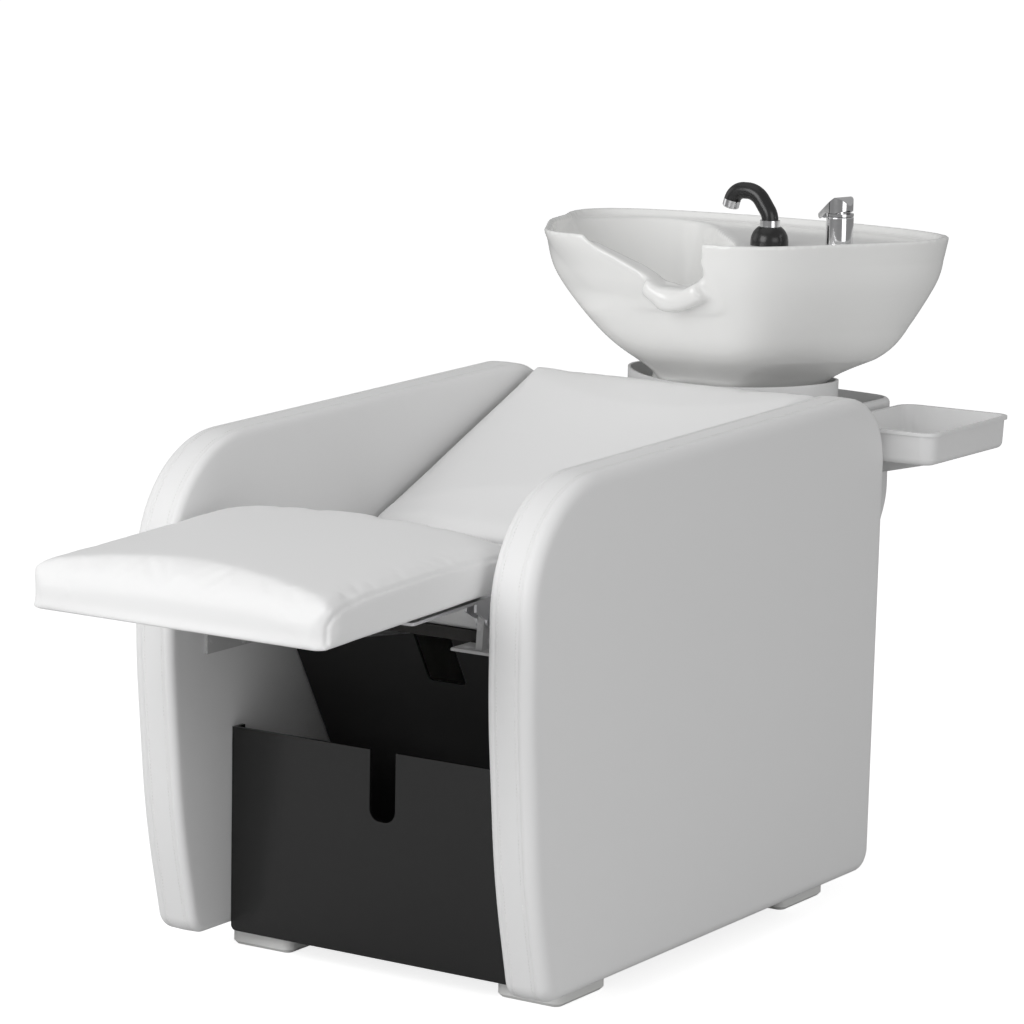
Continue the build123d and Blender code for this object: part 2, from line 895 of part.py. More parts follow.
# Pins that stay with the frame, headed at both ends: two for the leg rest, one for the tail
pin_reach = fork_gap / 2 + fork_plate + pin_play
tail_reach = tail_inner + clevis_plate + pin_play
with BuildPart() as pivot_pins:
    for sign in (-1, 1):
        with BuildSketch(yz_plane(sign * hinge_x)):
            with Locations((hinge_y, hinge_z)):
                Circle(hinge_pin / 2)
        extrude(amount=pin_reach, both=True)
        for end in (-1, 1):
            with BuildSketch(yz_plane(sign * hinge_x + end * pin_reach)):
                with Locations((hinge_y, hinge_z)):
                    Circle(pin_head / 2)
            extrude(amount=end * pin_head_height)
    with BuildSketch(yz_plane()):
        with Locations((tail_pin_y, tail_pin_z)):
            Circle(rod_pin_diameter / 2)
    extrude(amount=tail_reach, both=True)
    for sign in (-1, 1):
        with BuildSketch(yz_plane(sign * tail_reach)):
            with Locations((tail_pin_y, tail_pin_z)):
                Circle(clevis_head / 2)
        extrude(amount=sign * pin_head_height)
pieces["pivot_pins"] = pivot_pins

# Clevis under the leg board for the actuator rod
with BuildPart() as rod_clevis:
    for sign in (-1, 1):
        with BuildSketch(yz_plane(sign * tail_inner)):
            with BuildLine():
                Polyline(
                    (rod_pin_y - clevis_root / 2, under_leg(rod_pin_y - clevis_root / 2)),
                    (rod_pin_y + clevis_root / 2, under_leg(rod_pin_y + clevis_root / 2)),
                    (rod_pin_y + rod_eye, rod_pin_z),
                    (rod_pin_y - rod_eye, rod_pin_z),
                    close=True,
                )
            make_face()
            with Locations((rod_pin_y, rod_pin_z)):
                Circle(rod_eye)
        extrude(amount=sign * clevis_plate)
    with BuildSketch(leg_base.offset(-leg_board_thickness)):
        with Locations((0, (rod_pin_y - leg_front_y) / cos(leg_angle))):
            RectangleRounded(fork_arm_width, clevis_root, slot_corner)
    extrude(amount=-fork_plate)
pieces["rod_clevis"] = rod_clevis

# Bolt head and nut outside the clevis, each with the stub that fills its plate
with BuildPart() as clevis_bolt:
    for sign in (-1, 1):
        with BuildSketch(yz_plane(sign * (tail_inner + clevis_plate))):
            with Locations((rod_pin_y, rod_pin_z)):
                RegularPolygon(clevis_head / 2, 6, major_radius=False)
        extrude(amount=sign * clevis_head_height)
pieces["clevis_bolt"] = clevis_bolt

# Actuator along the line from its tail pin to the rod pin
throw_y = tail_pin_y - rod_pin_y
throw_z = rod_pin_z - tail_pin_z
throw = hypot(throw_y, throw_z)
rod_base = Plane(
    origin=(0, rod_pin_y, rod_pin_z), x_dir=(1, 0, 0), z_dir=(0, throw_y / throw, -throw_z / throw)
)
rod_side = Plane(
    origin=(0, rod_pin_y, rod_pin_z), x_dir=(0, throw_y / throw, -throw_z / throw), z_dir=(1, 0, 0)
)
fold = radians(leg_fold)
folded_y = hinge_y + (rod_pin_y - hinge_y) * cos(fold) - (rod_pin_z - hinge_z) * sin(fold)
folded_z = hinge_z + (rod_pin_y - hinge_y) * sin(fold) + (rod_pin_z - hinge_z) * cos(fold)
stroke = throw - hypot(tail_pin_y - folded_y, folded_z - tail_pin_z)
sleeve_end = throw - tail_neck - gearbox_length

with BuildPart() as actuator_rod:
    with BuildSketch(rod_side):
        Circle(rod_eye)
        with Locations((rod_neck / 2, 0)):
            Rectangle(rod_neck, rod_neck_height)
    extrude(amount=rod_eye_width / 2, both=True)
    with BuildSketch(rod_base.offset(rod_neck)):
        Circle(rod_diameter / 2)
    extrude(amount=rod_length - rod_neck)
    with BuildSketch(rod_side):
        Circle(rod_pin_diameter / 2 + pin_play)
    extrude(amount=rod_eye_width, both=True, mode=Mode.SUBTRACT)
pieces["actuator_rod"] = actuator_rod

with BuildPart() as rod_pin:
    with BuildSketch(rod_side):
        Circle(rod_pin_diameter / 2)
    extrude(amount=rod_eye_width / 2, both=True)
pieces["rod_pin"] = rod_pin

with BuildPart() as actuator_tube:
    with BuildSketch(rod_base.offset(sleeve_front_gap)):
        Circle(sleeve_diameter / 2)
    extrude(amount=sleeve_end - sleeve_front_gap)
    chamfer(actuator_tube.edges().filter_by(GeomType.CIRCLE), tube_wall)
    with BuildSketch(rod_base.offset(sleeve_front_gap)):
        Circle(rod_diameter / 2 + pin_play)
    extrude(amount=rod_length + stroke + stroke_margin - sleeve_front_gap, mode=Mode.SUBTRACT)
pieces["actuator_tube"] = actuator_tube

gearbox_middle = (gearbox_height - 2 * gearbox_top) / 2
with BuildPart() as gearbox:
    with BuildSketch(rod_base.offset(sleeve_end)):
        with Locations((0, gearbox_middle)):
            RectangleRounded(gearbox_width, gearbox_height, gearbox_round)
    extrude(amount=gearbox_length)
    with BuildSketch(rod_side):
        with Locations((throw, 0)):
            Circle(rod_eye)
        with Locations((throw - tail_neck / 2, 0)):
            Rectangle(tail_neck, rod_neck_height)
    extrude(amount=rod_eye_width / 2, both=True)
    with BuildSketch(rod_side):
        with Locations((throw, 0)):
            Circle(rod_pin_diameter / 2 + pin_play)
    extrude(amount=rod_eye_width, both=True, mode=Mode.SUBTRACT)
pieces["gearbox"] = gearbox

motor_top = gearbox_height - gearbox_top
motor_base = Plane(
    origin=rod_base.from_local_coords(Vector(0, motor_top, sleeve_end + gearbox_length / 2)),
    x_dir=(1, 0, 0),
    z_dir=rod_base.y_dir,
)
with BuildPart() as motor:
    with BuildSketch(motor_base):
        Circle(motor_diameter / 2)
    extrude(amount=motor_length)
    fillet(motor.edges().filter_by(GeomType.CIRCLE).sort_by(Axis.Z)[0], motor_round)
pieces["motor"] = motor

# Power unit standing on the front cross tube, with its mains inlet at the back
power_y = shield_foot_y + shield_wall * shield_stretch + plate_gap
with BuildPart() as power_unit:
    with BuildSketch(Plane.XY.offset(tube_top)):
        with Locations((0, power_y + power_length / 2)):
            RectangleRounded(power_width, power_length, power_round)
    extrude(amount=power_height)
    chamfer(power_unit.faces().sort_by(Axis.Z)[-1].edges(), tube_corner)
    with BuildSketch(xz_plane(power_y + power_length)):
        with Locations((0, tube_top + power_height / 2)):
            RectangleRounded(inlet_width, inlet_height, tube_corner)
    extrude(amount=inlet_depth, mode=Mode.SUBTRACT)
pieces["power_unit"] = power_unit

# Column, its foot plate and the arm that reaches back under the basin
column_base = tube_top + column_plate
arm_top = arm_bottom + arm_height
with BuildPart() as column:
    with BuildSketch(Plane.XY.offset(tube_top)):
        with Locations((0, column_y)):
            RectangleRounded(
                column_width + 2 * column_plate_margin, column_depth + column_plate_margin, column_corner
            )
    extrude(amount=column_plate)
    with BuildSketch(Plane.XY.offset(column_base)):
        with Locations((0, column_y)):
            RectangleRounded(column_width, column_depth, column_corner)
            Rectangle(column_width - 2 * column_wall, column_depth - 2 * column_wall, mode=Mode.SUBTRACT)
    extrude(amount=arm_bottom - column_base)
pieces["column"] = column

fork_inner = cheek_gap / 2
with BuildPart() as column_arm:
    with BuildSketch(xz_plane(arm_front_y)):
        with Locations((0, arm_bottom + arm_height / 2)):
            RectangleRounded(arm_width, arm_height, tube_corner)
            Rectangle(arm_width - 2 * arm_wall, arm_height - 2 * arm_wall, mode=Mode.SUBTRACT)
    extrude(amount=arm_front_y - arm_rear_y)
    for sign in (-1, 1):
        with BuildSketch(yz_plane(sign * fork_inner)):
            with Locations((tilt_y, (arm_top + tilt_z) / 2)):
                Rectangle(cheek_depth, tilt_z - arm_top)
            with Locations((tilt_y, tilt_z)):
                Rectangle(cheek_depth, 2 * tilt_pin)
            with Locations((tilt_y, tilt_z)):
                Circle(tilt_pin / 2 + pin_play, mode=Mode.SUBTRACT)
        extrude(amount=sign * cheek_plate)
pieces["column_arm"] = column_arm

ear_inner = ear_gap / 2
disc_start = ear_inner + ear_plate + disc_gap
with BuildPart() as friction_discs:
    for sign in (-1, 1):
        with BuildSketch(yz_plane(sign * disc_start)):
            with Locations((tilt_y, tilt_z)):
                Circle(disc_diameter / 2)
                Circle(tilt_pin / 2 + pin_play, mode=Mode.SUBTRACT)
        extrude(amount=sign * (fork_inner - disc_start))
pieces["friction_discs"] = friction_discs

tilt_reach = fork_inner + cheek_plate
with BuildPart() as tilt_bolt:
    with BuildSketch(yz_plane()):
        with Locations((tilt_y, tilt_z)):
            Circle(tilt_pin / 2)
    extrude(amount=tilt_reach, both=True)
    for sign in (-1, 1):
        with BuildSketch(yz_plane(sign * tilt_reach)):
            with Locations((tilt_y, tilt_z)):
                RegularPolygon(tilt_head / 2, 6, major_radius=False)
        extrude(amount=sign * tilt_head_height)
pieces["tilt_bolt"] = tilt_bolt

# Rear cover between the panels, open for the arm
rear_cover_y = base_tube_end
with BuildPart() as rear_cover:
    with BuildSketch(xz_plane(rear_cover_y)):
        with Locations((0, (rear_cover_ground + rear_cover_top) / 2)):
            Rectangle(inner_width - 2 * plate_gap, rear_cover_top - rear_cover_ground)
        with Locations((0, arm_bottom + arm_height / 2)):
            RectangleRounded(
                arm_width + 2 * arm_clearance,
                arm_height + 2 * arm_clearance,
                slot_corner,
                mode=Mode.SUBTRACT,
            )
    extrude(amount=-rear_cover_wall)
pieces["rear_cover"] = rear_cover

# Casing behind the column, a moulded shell open to the front with a sunken top
casing_front_y = rear_cover_y + rear_cover_wall


def casing_block(inset, top, reach):
    """Outer form of the casing drawn in by an inset, cut off at a height, reaching forward."""
    with BuildPart() as block:
        with BuildSketch(yz_plane()):
            with BuildLine():
                FilletPolyline(
                    (casing_front_y - reach, casing_foot_z + inset),
                    (casing_foot_y, casing_foot_z + inset),
                    (casing_corner_y + casing_bow - inset, casing_waist_z),
                    (casing_corner_y + casing_bow - inset, casing_top),
                    (casing_front_y - reach, casing_top),
                    radius=[0, casing_brow, casing_haunch, 0, 0],
                    close=True,
                )
            make_face()
        extrude(amount=casing_half - inset, both=True)
        with BuildSketch():
            with BuildLine():
                side = casing_half - inset
                rear = casing_corner_y - inset
                Line((-side, rear), (-side, casing_front_y - reach))
                Line((-side, casing_front_y - reach), (side, casing_front_y - reach))
                Line((side, casing_front_y - reach), (side, rear))
                ThreePointArc((side, rear), (0, rear + casing_bow), (-side, rear))
            make_face()
            fillet(vertices().group_by(Axis.Y)[1], casing_corner - inset)
        extrude(amount=top, mode=Mode.INTERSECT)
    return block


well_top = casing_top - well_depth
arm_hole_left = waste_x - waste_nut / 2 - well_hole_margin
arm_hole_right = tilt_reach + tilt_head_height + well_hole_margin
arm_hole_front = waste_y - waste_nut / 2 - well_hole_margin
arm_hole_rear = tilt_y + cheek_depth / 2 + well_hole_margin
casing_hollow = casing_block(casing_wall, well_top - well_floor, overrun)
with BuildPart() as rear_casing:
    add(casing_block(0, casing_top, 0).part)
    fillet(rear_casing.faces().sort_by(Axis.Z)[-1].edges().filter_by(Axis.Y), casing_brow)
    add(casing_hollow.part, mode=Mode.SUBTRACT)
    with BuildSketch(Plane.XY.offset(well_top)):
        with BuildLine():
            side = casing_half - well_inset
            rear = casing_corner_y - well_inset
            front = casing_front_y + well_inset
            Line((-side, rear), (-side, front))
            Line((-side, front), (side, front))
            Line((side, front), (side, rear))
            ThreePointArc((side, rear), (0, rear + casing_bow), (-side, rear))
        make_face()
        fillet(vertices().group_by(Axis.Y)[-1], casing_corner - well_inset)
    extrude(amount=well_depth, mode=Mode.SUBTRACT)
    with BuildSketch(Plane.XY.offset(well_top - 2 * well_floor)):
        with Locations(((arm_hole_left + arm_hole_right) / 2, (arm_hole_front + arm_hole_rear) / 2)):
            RectangleRounded(arm_hole_right - arm_hole_left, arm_hole_rear - arm_hole_front, slot_corner)
    extrude(amount=4 * well_floor, mode=Mode.SUBTRACT)
pieces["rear_casing"] = rear_casing

# Saddle under the basin, hung on the tilt bolt between the cheeks
saddle_low = saddle_top - saddle_plate
saddle_bolt_places = [
    (x, tilt_y + y) for x in (-saddle_bolt_x, saddle_bolt_x) for y in (-saddle_bolt_y, saddle_bolt_y)
]
with BuildPart() as basin_saddle:
    with BuildSketch(Plane.XY.offset(saddle_low)):
        with Locations((0, tilt_y)):
            RectangleRounded(saddle_width, saddle_depth, slot_corner)
        with Locations(*saddle_bolt_places):
            Circle(saddle_bolt / 2 + pin_play, mode=Mode.SUBTRACT)
    extrude(amount=saddle_plate)
    for sign in (-1, 1):
        with BuildSketch(yz_plane(sign * ear_inner)):
            with Locations((tilt_y, (saddle_low + tilt_z) / 2)):
                Rectangle(2 * ear_radius, saddle_low - tilt_z)
            with Locations((tilt_y, tilt_z)):
                Circle(ear_radius)
            with Locations((tilt_y, tilt_z)):
                Circle(tilt_pin / 2 + pin_play, mode=Mode.SUBTRACT)
        extrude(amount=sign * ear_plate)
pieces["basin_saddle"] = basin_saddle

# Oval collar on the saddle, with a top edge that rises towards both ends
pad_low = saddle_top + collar_floor
collar_end_rim = collar_rim + collar_saddle
with BuildPart() as basin_collar:
    with BuildSketch(Plane.XY.offset(collar_low)):
        with Locations((collar_x, collar_y)):
            Ellipse(collar_half_x, collar_half_y)
            Ellipse(collar_half_x - collar_wall, collar_half_y - collar_wall, mode=Mode.SUBTRACT)
    extrude(amount=collar_end_rim - collar_low)
    with BuildSketch(Plane.XY.offset(saddle_top)):
        with Locations((collar_x, collar_y)):
            Ellipse(collar_half_x - collar_wall / 2, collar_half_y - collar_wall / 2)
        with Locations((waste_x, waste_y)):
            Circle(waste_nut / 2 + waste_nut_clearance, mode=Mode.SUBTRACT)
        with Locations(*saddle_bolt_places):
            Circle(saddle_bolt / 2 + pin_play, mode=Mode.SUBTRACT)
    extrude(amount=collar_floor)
    with BuildSketch(xz_plane(collar_y)):
        with BuildLine():
            ThreePointArc(
                (collar_x - collar_half_x, collar_end_rim),
                (collar_x, collar_rim),
                (collar_x + collar_half_x, collar_end_rim),
            )
            Line((collar_x + collar_half_x, collar_end_rim), (collar_x - collar_half_x, collar_end_rim))
        make_face()
    extrude(amount=collar_half_y, both=True, mode=Mode.SUBTRACT)
pieces["basin_collar"] = basin_collar

with BuildPart() as basin_pad:
    with BuildSketch(Plane.XY.offset(pad_low)):
        with Locations((0, tilt_y)):
            RectangleRounded(saddle_width, saddle_depth, slot_corner)
        with Locations(*saddle_bolt_places):
            Circle(saddle_bolt / 2 + pin_play, mode=Mode.SUBTRACT)
    extrude(amount=pad_thickness)
pieces["basin_pad"] = basin_pad
basin_low = pad_low + pad_thickness

with BuildPart() as saddle_bolts:
    with BuildSketch(Plane.XY.offset(saddle_low)):
        with Locations(*saddle_bolt_places):
            Circle(saddle_bolt_head / 2)
    extrude(amount=-saddle_bolt_head_height)
    with BuildSketch(Plane.XY.offset(saddle_low)):
        with Locations(*saddle_bolt_places):
            Circle(saddle_bolt / 2)
    extrude(amount=basin_low + saddle_bolt_depth - plate_gap - saddle_low)
pieces["saddle_bolts"] = saddle_bolts

# Ceramic basin. Its plan is given as shares of its half width and of its depth.
rim_half_shares = (
    (0.298, 0.002),
    (0.470, 0.035),
    (0.596, 0.125),
    (0.696, 0.241),
    (0.790, 0.363),
    (0.890, 0.491),
    (0.972, 0.618),
    (0.997, 0.722),
    (0.950, 0.826),
    (0.821, 0.905),
    (0.596, 0.961),
    (0.313, 0.991),
)
rim_shares = (
    ((0, 0),)
    + rim_half_shares
    + ((0, 1),)
    + tuple((-x, y) for x, y in reversed(rim_half_shares))
)
bowl_shares = (
    (-0.226, 0.074),
    (-0.470, 0.125),
    (-0.674, 0.259),
    (-0.821, 0.444),
    (-0.909, 0.630),
    (-0.831, 0.792),
    (-0.627, 0.896),
    (-0.439, 0.873),
    (-0.188, 0.699),
    (0.031, 0.491),
    (0.188, 0.329),
    (0.266, 0.190),
    (0.241, 0.074),
)
# Shares of the rim's and the bowl's plan at shares of the height from the base to the rim
belly_level_shares = (
    (0.0, 0.345),
    (0.04, 0.36),
    (0.154, 0.425),
    (0.288, 0.60),
    (0.481, 0.78),
    (0.673, 0.90),
    (0.865, 0.975),
    (1.0, 1.0),
)
bowl_level_shares = ((0.0, 0.19), (0.11, 0.38), (0.37, 0.62), (0.68, 0.85), (0.88, 0.95), (1.0, 1.0))
rim_height = rim_z - basin_low
deck_z = rim_z - deck_drop
lip_share = 1 - lip_width / basin_half
wall_share = glaze_wall / (basin_half - abs(waste_x))


def ring(shares, level, share, middle_x, middle_y):
    """Smooth closed outline at a height, drawn towards a middle by a share."""
    with BuildSketch(Plane.XY.offset(level)) as outline:
        with BuildLine():
            places = []
            for share_x, share_y in shares:
                x = middle_x + (basin_half * share_x - middle_x) * share
                y = middle_y + (basin_front_y + basin_depth * share_y - middle_y) * share
                places.append((x, y))
            Spline(*places, periodic=True)
        make_face()
    return outline.sketch


def bowl_solid(margin, drop):
    """The bowl's hollow, grown by a share of its plan and lowered at its foot."""
    with BuildPart() as hollow:
        for height_share, share in bowl_level_shares:
            level = bowl_bottom - drop + (deck_z - bowl_bottom + drop) * height_share
            add(ring(bowl_shares, level, share + margin, waste_x, waste_y))
        loft()
    return hollow.part


def underside_hollow():
    """Hollow under the deck, to the right of the bowl and behind it."""
    with BuildPart() as hollow:
        for height_share, share in belly_level_shares[2:-1]:
            level = basin_low + rim_height * height_share
            add(ring(rim_shares, level, share - wall_share, 0, belly_y))
        loft()
        with BuildSketch():
            with Locations((-cavity_left, cavity_front_y)):
                Rectangle(basin_half + cavity_left, basin_depth, align=(Align.MIN, Align.MIN))
        extrude(amount=deck_z - glaze_wall, mode=Mode.INTERSECT)
        add(bowl_solid(wall_share, glaze_wall), mode=Mode.SUBTRACT)
    return hollow.part


with BuildPart() as basin:
    for height_share, share in belly_level_shares:
        add(ring(rim_shares, basin_low + rim_height * height_share, share, 0, belly_y))
    loft()
    with BuildSketch(Plane.XY.offset(basin_low)):
        with Locations((waste_x, waste_y)):
            Circle(waste_boss / 2)
    extrude(amount=waste_sump)
    roll_z = notch_z - neck_roll_radius + neck_roll_arc
    roll_start = 270 - neck_roll_half_angle
    with BuildLine(xz_plane(neck_roll_y)) as roll_path:
        CenterArc((0, roll_z), neck_roll_arc, roll_start, 2 * neck_roll_half_angle)
    with BuildSketch(Plane(origin=roll_path.line @ 0, z_dir=roll_path.line % 0)):
        Circle(neck_roll_radius)
    sweep(path=roll_path.line)
    add(ring(rim_shares, deck_z, lip_share, 0, belly_y))
    extrude(amount=deck_drop + overrun, mode=Mode.SUBTRACT)
    add(bowl_solid(0, 0), mode=Mode.SUBTRACT)
    with BuildSketch(xz_plane(basin_front_y + lip_width + notch_corner)):
        with BuildLine():
            FilletPolyline(
                (-notch_half, rim_z + overrun),
                (-notch_half, notch_z),
                (notch_half, notch_z),
                (notch_half, rim_z + overrun),
                radius=[0, notch_corner, notch_corner, 0],
                close=True,
            )
        make_face()
    extrude(amount=2 * basin_front_y, mode=Mode.SUBTRACT)
    add(underside_hollow(), mode=Mode.SUBTRACT)
    with BuildSketch(xz_plane(basin_front_y + basin_depth + overrun)):
        with Locations((service_x, service_z)):
            RectangleRounded(service_width, service_height, service_round)
    extrude(amount=service_reach, mode=Mode.SUBTRACT)
    with BuildSketch(Plane.XY.offset(basin_low)):
        with Locations((waste_x, waste_y)):
            Circle(waste_bore / 2 + pin_play)
    extrude(amount=rim_height, mode=Mode.SUBTRACT)
    with BuildSketch(Plane.XY.offset(bowl_bottom)):
        with Locations((waste_x, waste_y)):
            Circle(waste_flange / 2 + pin_play)
    extrude(amount=waste_flange_height + waste_bar, mode=Mode.SUBTRACT)
    with BuildSketch(Plane.XY.offset(deck_z - holder_stem_length)):
        with Locations((handset_x, handset_y)):
            Circle(holder_stem / 2 + pin_play)
        with Locations((tap_x, tap_y)):
            Circle(tap_shank / 2 + pin_play)
    extrude(amount=rim_height, mode=Mode.SUBTRACT)
    with BuildSketch(Plane.XY.offset(basin_low)):
        with Locations(*saddle_bolt_places):
            Circle(saddle_bolt / 2 + pin_play)
    extrude(amount=saddle_bolt_depth, mode=Mode.SUBTRACT)
pieces["basin"] = basin

# Waste outlet: flanged body with its tail, the nut under the basin and the grate on top
waste_top = bowl_bottom + waste_flange_height
with BuildPart() as waste_body:
    with BuildSketch(Plane.XY.offset(bowl_bottom)):
        with Locations((waste_x, waste_y)):
            Circle(waste_flange / 2)
    extrude(amount=waste_flange_height)
    with BuildSketch(Plane.XY.offset(basin_low - waste_nut_height)):
        with Locations((waste_x, waste_y)):
            Circle(waste_bore / 2)
    extrude(amount=bowl_bottom - basin_low + waste_nut_height)
    with BuildSketch(Plane.XY.offset(waste_tail_low)):
        with Locations((waste_x, waste_y)):
            Circle(waste_tail / 2)
    extrude(amount=basin_low - waste_nut_height - waste_tail_low)
    with BuildSketch(Plane.XY.offset(waste_tail_low)):
        with Locations((waste_x, waste_y)):
            Circle(waste_tail / 2 - waste_bar)
    extrude(amount=waste_top - waste_tail_low, mode=Mode.SUBTRACT)
pieces["waste_body"] = waste_body

with BuildPart() as waste_grate:
    with BuildSketch(Plane.XY.offset(waste_top)):
        with Locations((waste_x, waste_y)):
            Circle(waste_bore / 2)
            Circle(waste_tail / 2 - waste_bar, mode=Mode.SUBTRACT)
            Rectangle(waste_tail, waste_bar)
            Rectangle(waste_bar, waste_tail)
    extrude(amount=waste_bar)
pieces["waste_grate"] = waste_grate

# Handset holder standing on the deck, with its hollow stem and nut
holder_top = deck_z + holder_height
with BuildPart() as handset_holder:
    with BuildSketch(Plane(origin=(handset_x, handset_y, 0), x_dir=(1, 0, 0), z_dir=(0, -1, 0))):
        with BuildLine():
            bore = holder_bore / 2
            Line((bore, holder_top), (bore, deck_z - pin_play))
            Line((bore, deck_z - pin_play), (bore, deck_z))
            Line((bore, deck_z), (holder_diameter / 2, deck_z))
            Line((holder_diameter / 2, deck_z), (holder_diameter / 2, deck_z + holder_flange))
            RadiusArc(
                (holder_diameter / 2, deck_z + holder_flange),
                (holder_neck / 2, holder_top),
                -holder_height,
            )
            Line((holder_neck / 2, holder_top), (bore, holder_top))
        make_face()
    revolve(axis=Axis((handset_x, handset_y, 0), (0, 0, 1)))
    with BuildSketch(Plane.XY.offset(deck_z)):
        with Locations((handset_x, handset_y)):
            Circle(holder_stem / 2)
            Circle(holder_bore / 2, mode=Mode.SUBTRACT)
    extrude(amount=-holder_stem_length)
pieces["handset_holder"] = handset_holder

# Mixer tap: gasket, body with its shank, turning cap and lifting lever
tap_base = deck_z + tap_gasket
tap_top = tap_base + tap_height
with BuildPart() as tap_gasket_ring:
    with BuildSketch(Plane.XY.offset(deck_z)):
        with Locations((tap_x, tap_y)):
            Circle(tap_diameter / 2 + tap_gasket)
            Circle(tap_shank / 2 + pin_play, mode=Mode.SUBTRACT)
    extrude(amount=tap_gasket)
pieces["tap_gasket"] = tap_gasket_ring

with BuildPart() as tap_body:
    with BuildSketch(Plane.XY.offset(tap_base)):
        with Locations((tap_x, tap_y)):
            Circle(tap_diameter / 2)
    extrude(amount=tap_height - plate_gap)
    fillet(tap_body.edges().sort_by(Axis.Z)[-1], tap_gasket)
    with BuildSketch(Plane.XY.offset(tap_base)):
        with Locations((tap_x, tap_y)):
            Circle(tap_shank / 2)
    extrude(amount=-tap_gasket - tap_shank_length)
pieces["tap_body"] = tap_body

# Nuts under the ceramic: one on the waste outlet and one on each shank under the deck
nut_level = basin_low + rim_height * belly_level_shares[-2][0]
with BuildPart() as basin_nuts:
    with BuildSketch(Plane.XY.offset(basin_low - waste_nut_height)):
        with Locations((waste_x, waste_y)):
            RegularPolygon(waste_nut / 2, 6, major_radius=False)
            Circle(waste_bore / 2 + pin_play, mode=Mode.SUBTRACT)
    extrude(amount=waste_nut_height)
    with BuildSketch(Plane.XY.offset(nut_level)):
        with Locations((handset_x, handset_y)):
            RegularPolygon(holder_nut / 2, 6, major_radius=False)
            Circle(holder_stem / 2 + pin_play, mode=Mode.SUBTRACT)
        with Locations((tap_x, tap_y)):
            RegularPolygon(tap_nut / 2, 6, major_radius=False)
            Circle(tap_shank / 2 + pin_play, mode=Mode.SUBTRACT)
    extrude(amount=-holder_nut_height)
pieces["basin_nuts"] = basin_nuts

cap_top = tap_top + tap_cap_height
turn = radians(tap_heading)
tap_side = Plane(
    origin=(tap_x, tap_y, cap_top), x_dir=(cos(turn), sin(turn), 0), z_dir=(sin(turn), -cos(turn), 0)
)
with BuildPart() as tap_cap:
    with BuildSketch(Plane.XY.offset(tap_top)):
        with Locations((tap_x, tap_y)):
            Circle(tap_diameter / 2)
    extrude(amount=tap_cap_height)
    with BuildSketch(Plane.XY.offset(cap_top)):
        with Locations((tap_x, tap_y)):
            Circle(tap_neck / 2)
    extrude(amount=tap_neck_height)
    with BuildSketch(tap_side):
        with Locations((-tap_pin_back, tap_pin_rise)):
            Circle(tap_pin / 2)
    extrude(amount=tap_pin_length / 2, both=True)
pieces["tap_cap"] = tap_cap

tip_front = tap_lever_reach + tap_lever_tip / 2
with BuildPart() as tap_lever:
    with BuildSketch(tap_side):
        with BuildLine():
            heel = -tap_lever_width / 2 - plate_gap
            ThreePointArc(
                (heel, tap_lever_shoulder),
                (heel + tap_lever_heel, tap_lever_crown - tap_lever_crown_back),
                (-tap_lever_crown_back, tap_lever_crown),
            )
            Polyline(
                (-tap_lever_crown_back, tap_lever_crown),
                (tip_front, -tap_lever_lip),
                (tap_lever_reach, -tap_lever_tip_low),
                (tap_diameter / 2 + plate_gap, plate_gap),
                (-tap_pin_back, plate_gap),
                (heel, tap_lever_heel),
                (heel, tap_lever_shoulder),
            )
        make_face()
    extrude(amount=tap_lever_width / 2, both=True)
    with BuildSketch(Plane(origin=(tap_x, tap_y, tap_base), x_dir=tap_side.x_dir)) as lever_plan:
        Circle(tap_lever_width / 2)
        with Locations((tap_lever_reach, 0)):
            Circle(tap_lever_tip / 2)
        make_hull()
    extrude(amount=2 * tap_height, mode=Mode.INTERSECT)
    with BuildSketch(Plane(origin=(tap_x, tap_y, tap_base), x_dir=tap_side.x_dir)):
        with Locations((tap_lever_loop_start, 0)):
            Circle(tap_lever_loop / 2)
        with Locations((tap_lever_loop_end, 0)):
            Circle(tap_lever_loop_front / 2)
        make_hull()
    extrude(amount=2 * tap_height, mode=Mode.SUBTRACT)
    with BuildSketch(Plane.XY.offset(tap_top)):
        with Locations((tap_x, tap_y)):
            Circle(tap_lever_pocket / 2)
    extrude(amount=tap_cap_height + tap_lever_pocket_height, mode=Mode.SUBTRACT)
    with BuildSketch(tap_side):
        with Locations((-tap_pin_back, tap_pin_rise)):
            Circle(tap_pin / 2 + pin_play)
    extrude(amount=tap_pin_length / 2 + plate_gap, both=True, mode=Mode.SUBTRACT)
pieces["tap_lever"] = tap_lever

# Handset: chrome ring and stem, arched black handle and the spray head facing down
ring_top = holder_top + plate_gap + handset_ring_length
turn = radians(handset_heading)
half_turn = degrees(pi)
with BuildPart() as handset_collar:
    with BuildSketch(Plane.XY.offset(holder_top + soft_gap)):
        with Locations((handset_x, handset_y)):
            Circle(handset_ring / 2)
    extrude(amount=ring_top - holder_top - soft_gap)
    with BuildSketch(Plane.XY.offset(holder_top + soft_gap)):
        with Locations((handset_x, handset_y)):
            Circle(handset_stem / 2)
    extrude(amount=-holder_height)
pieces["handset_collar"] = handset_collar

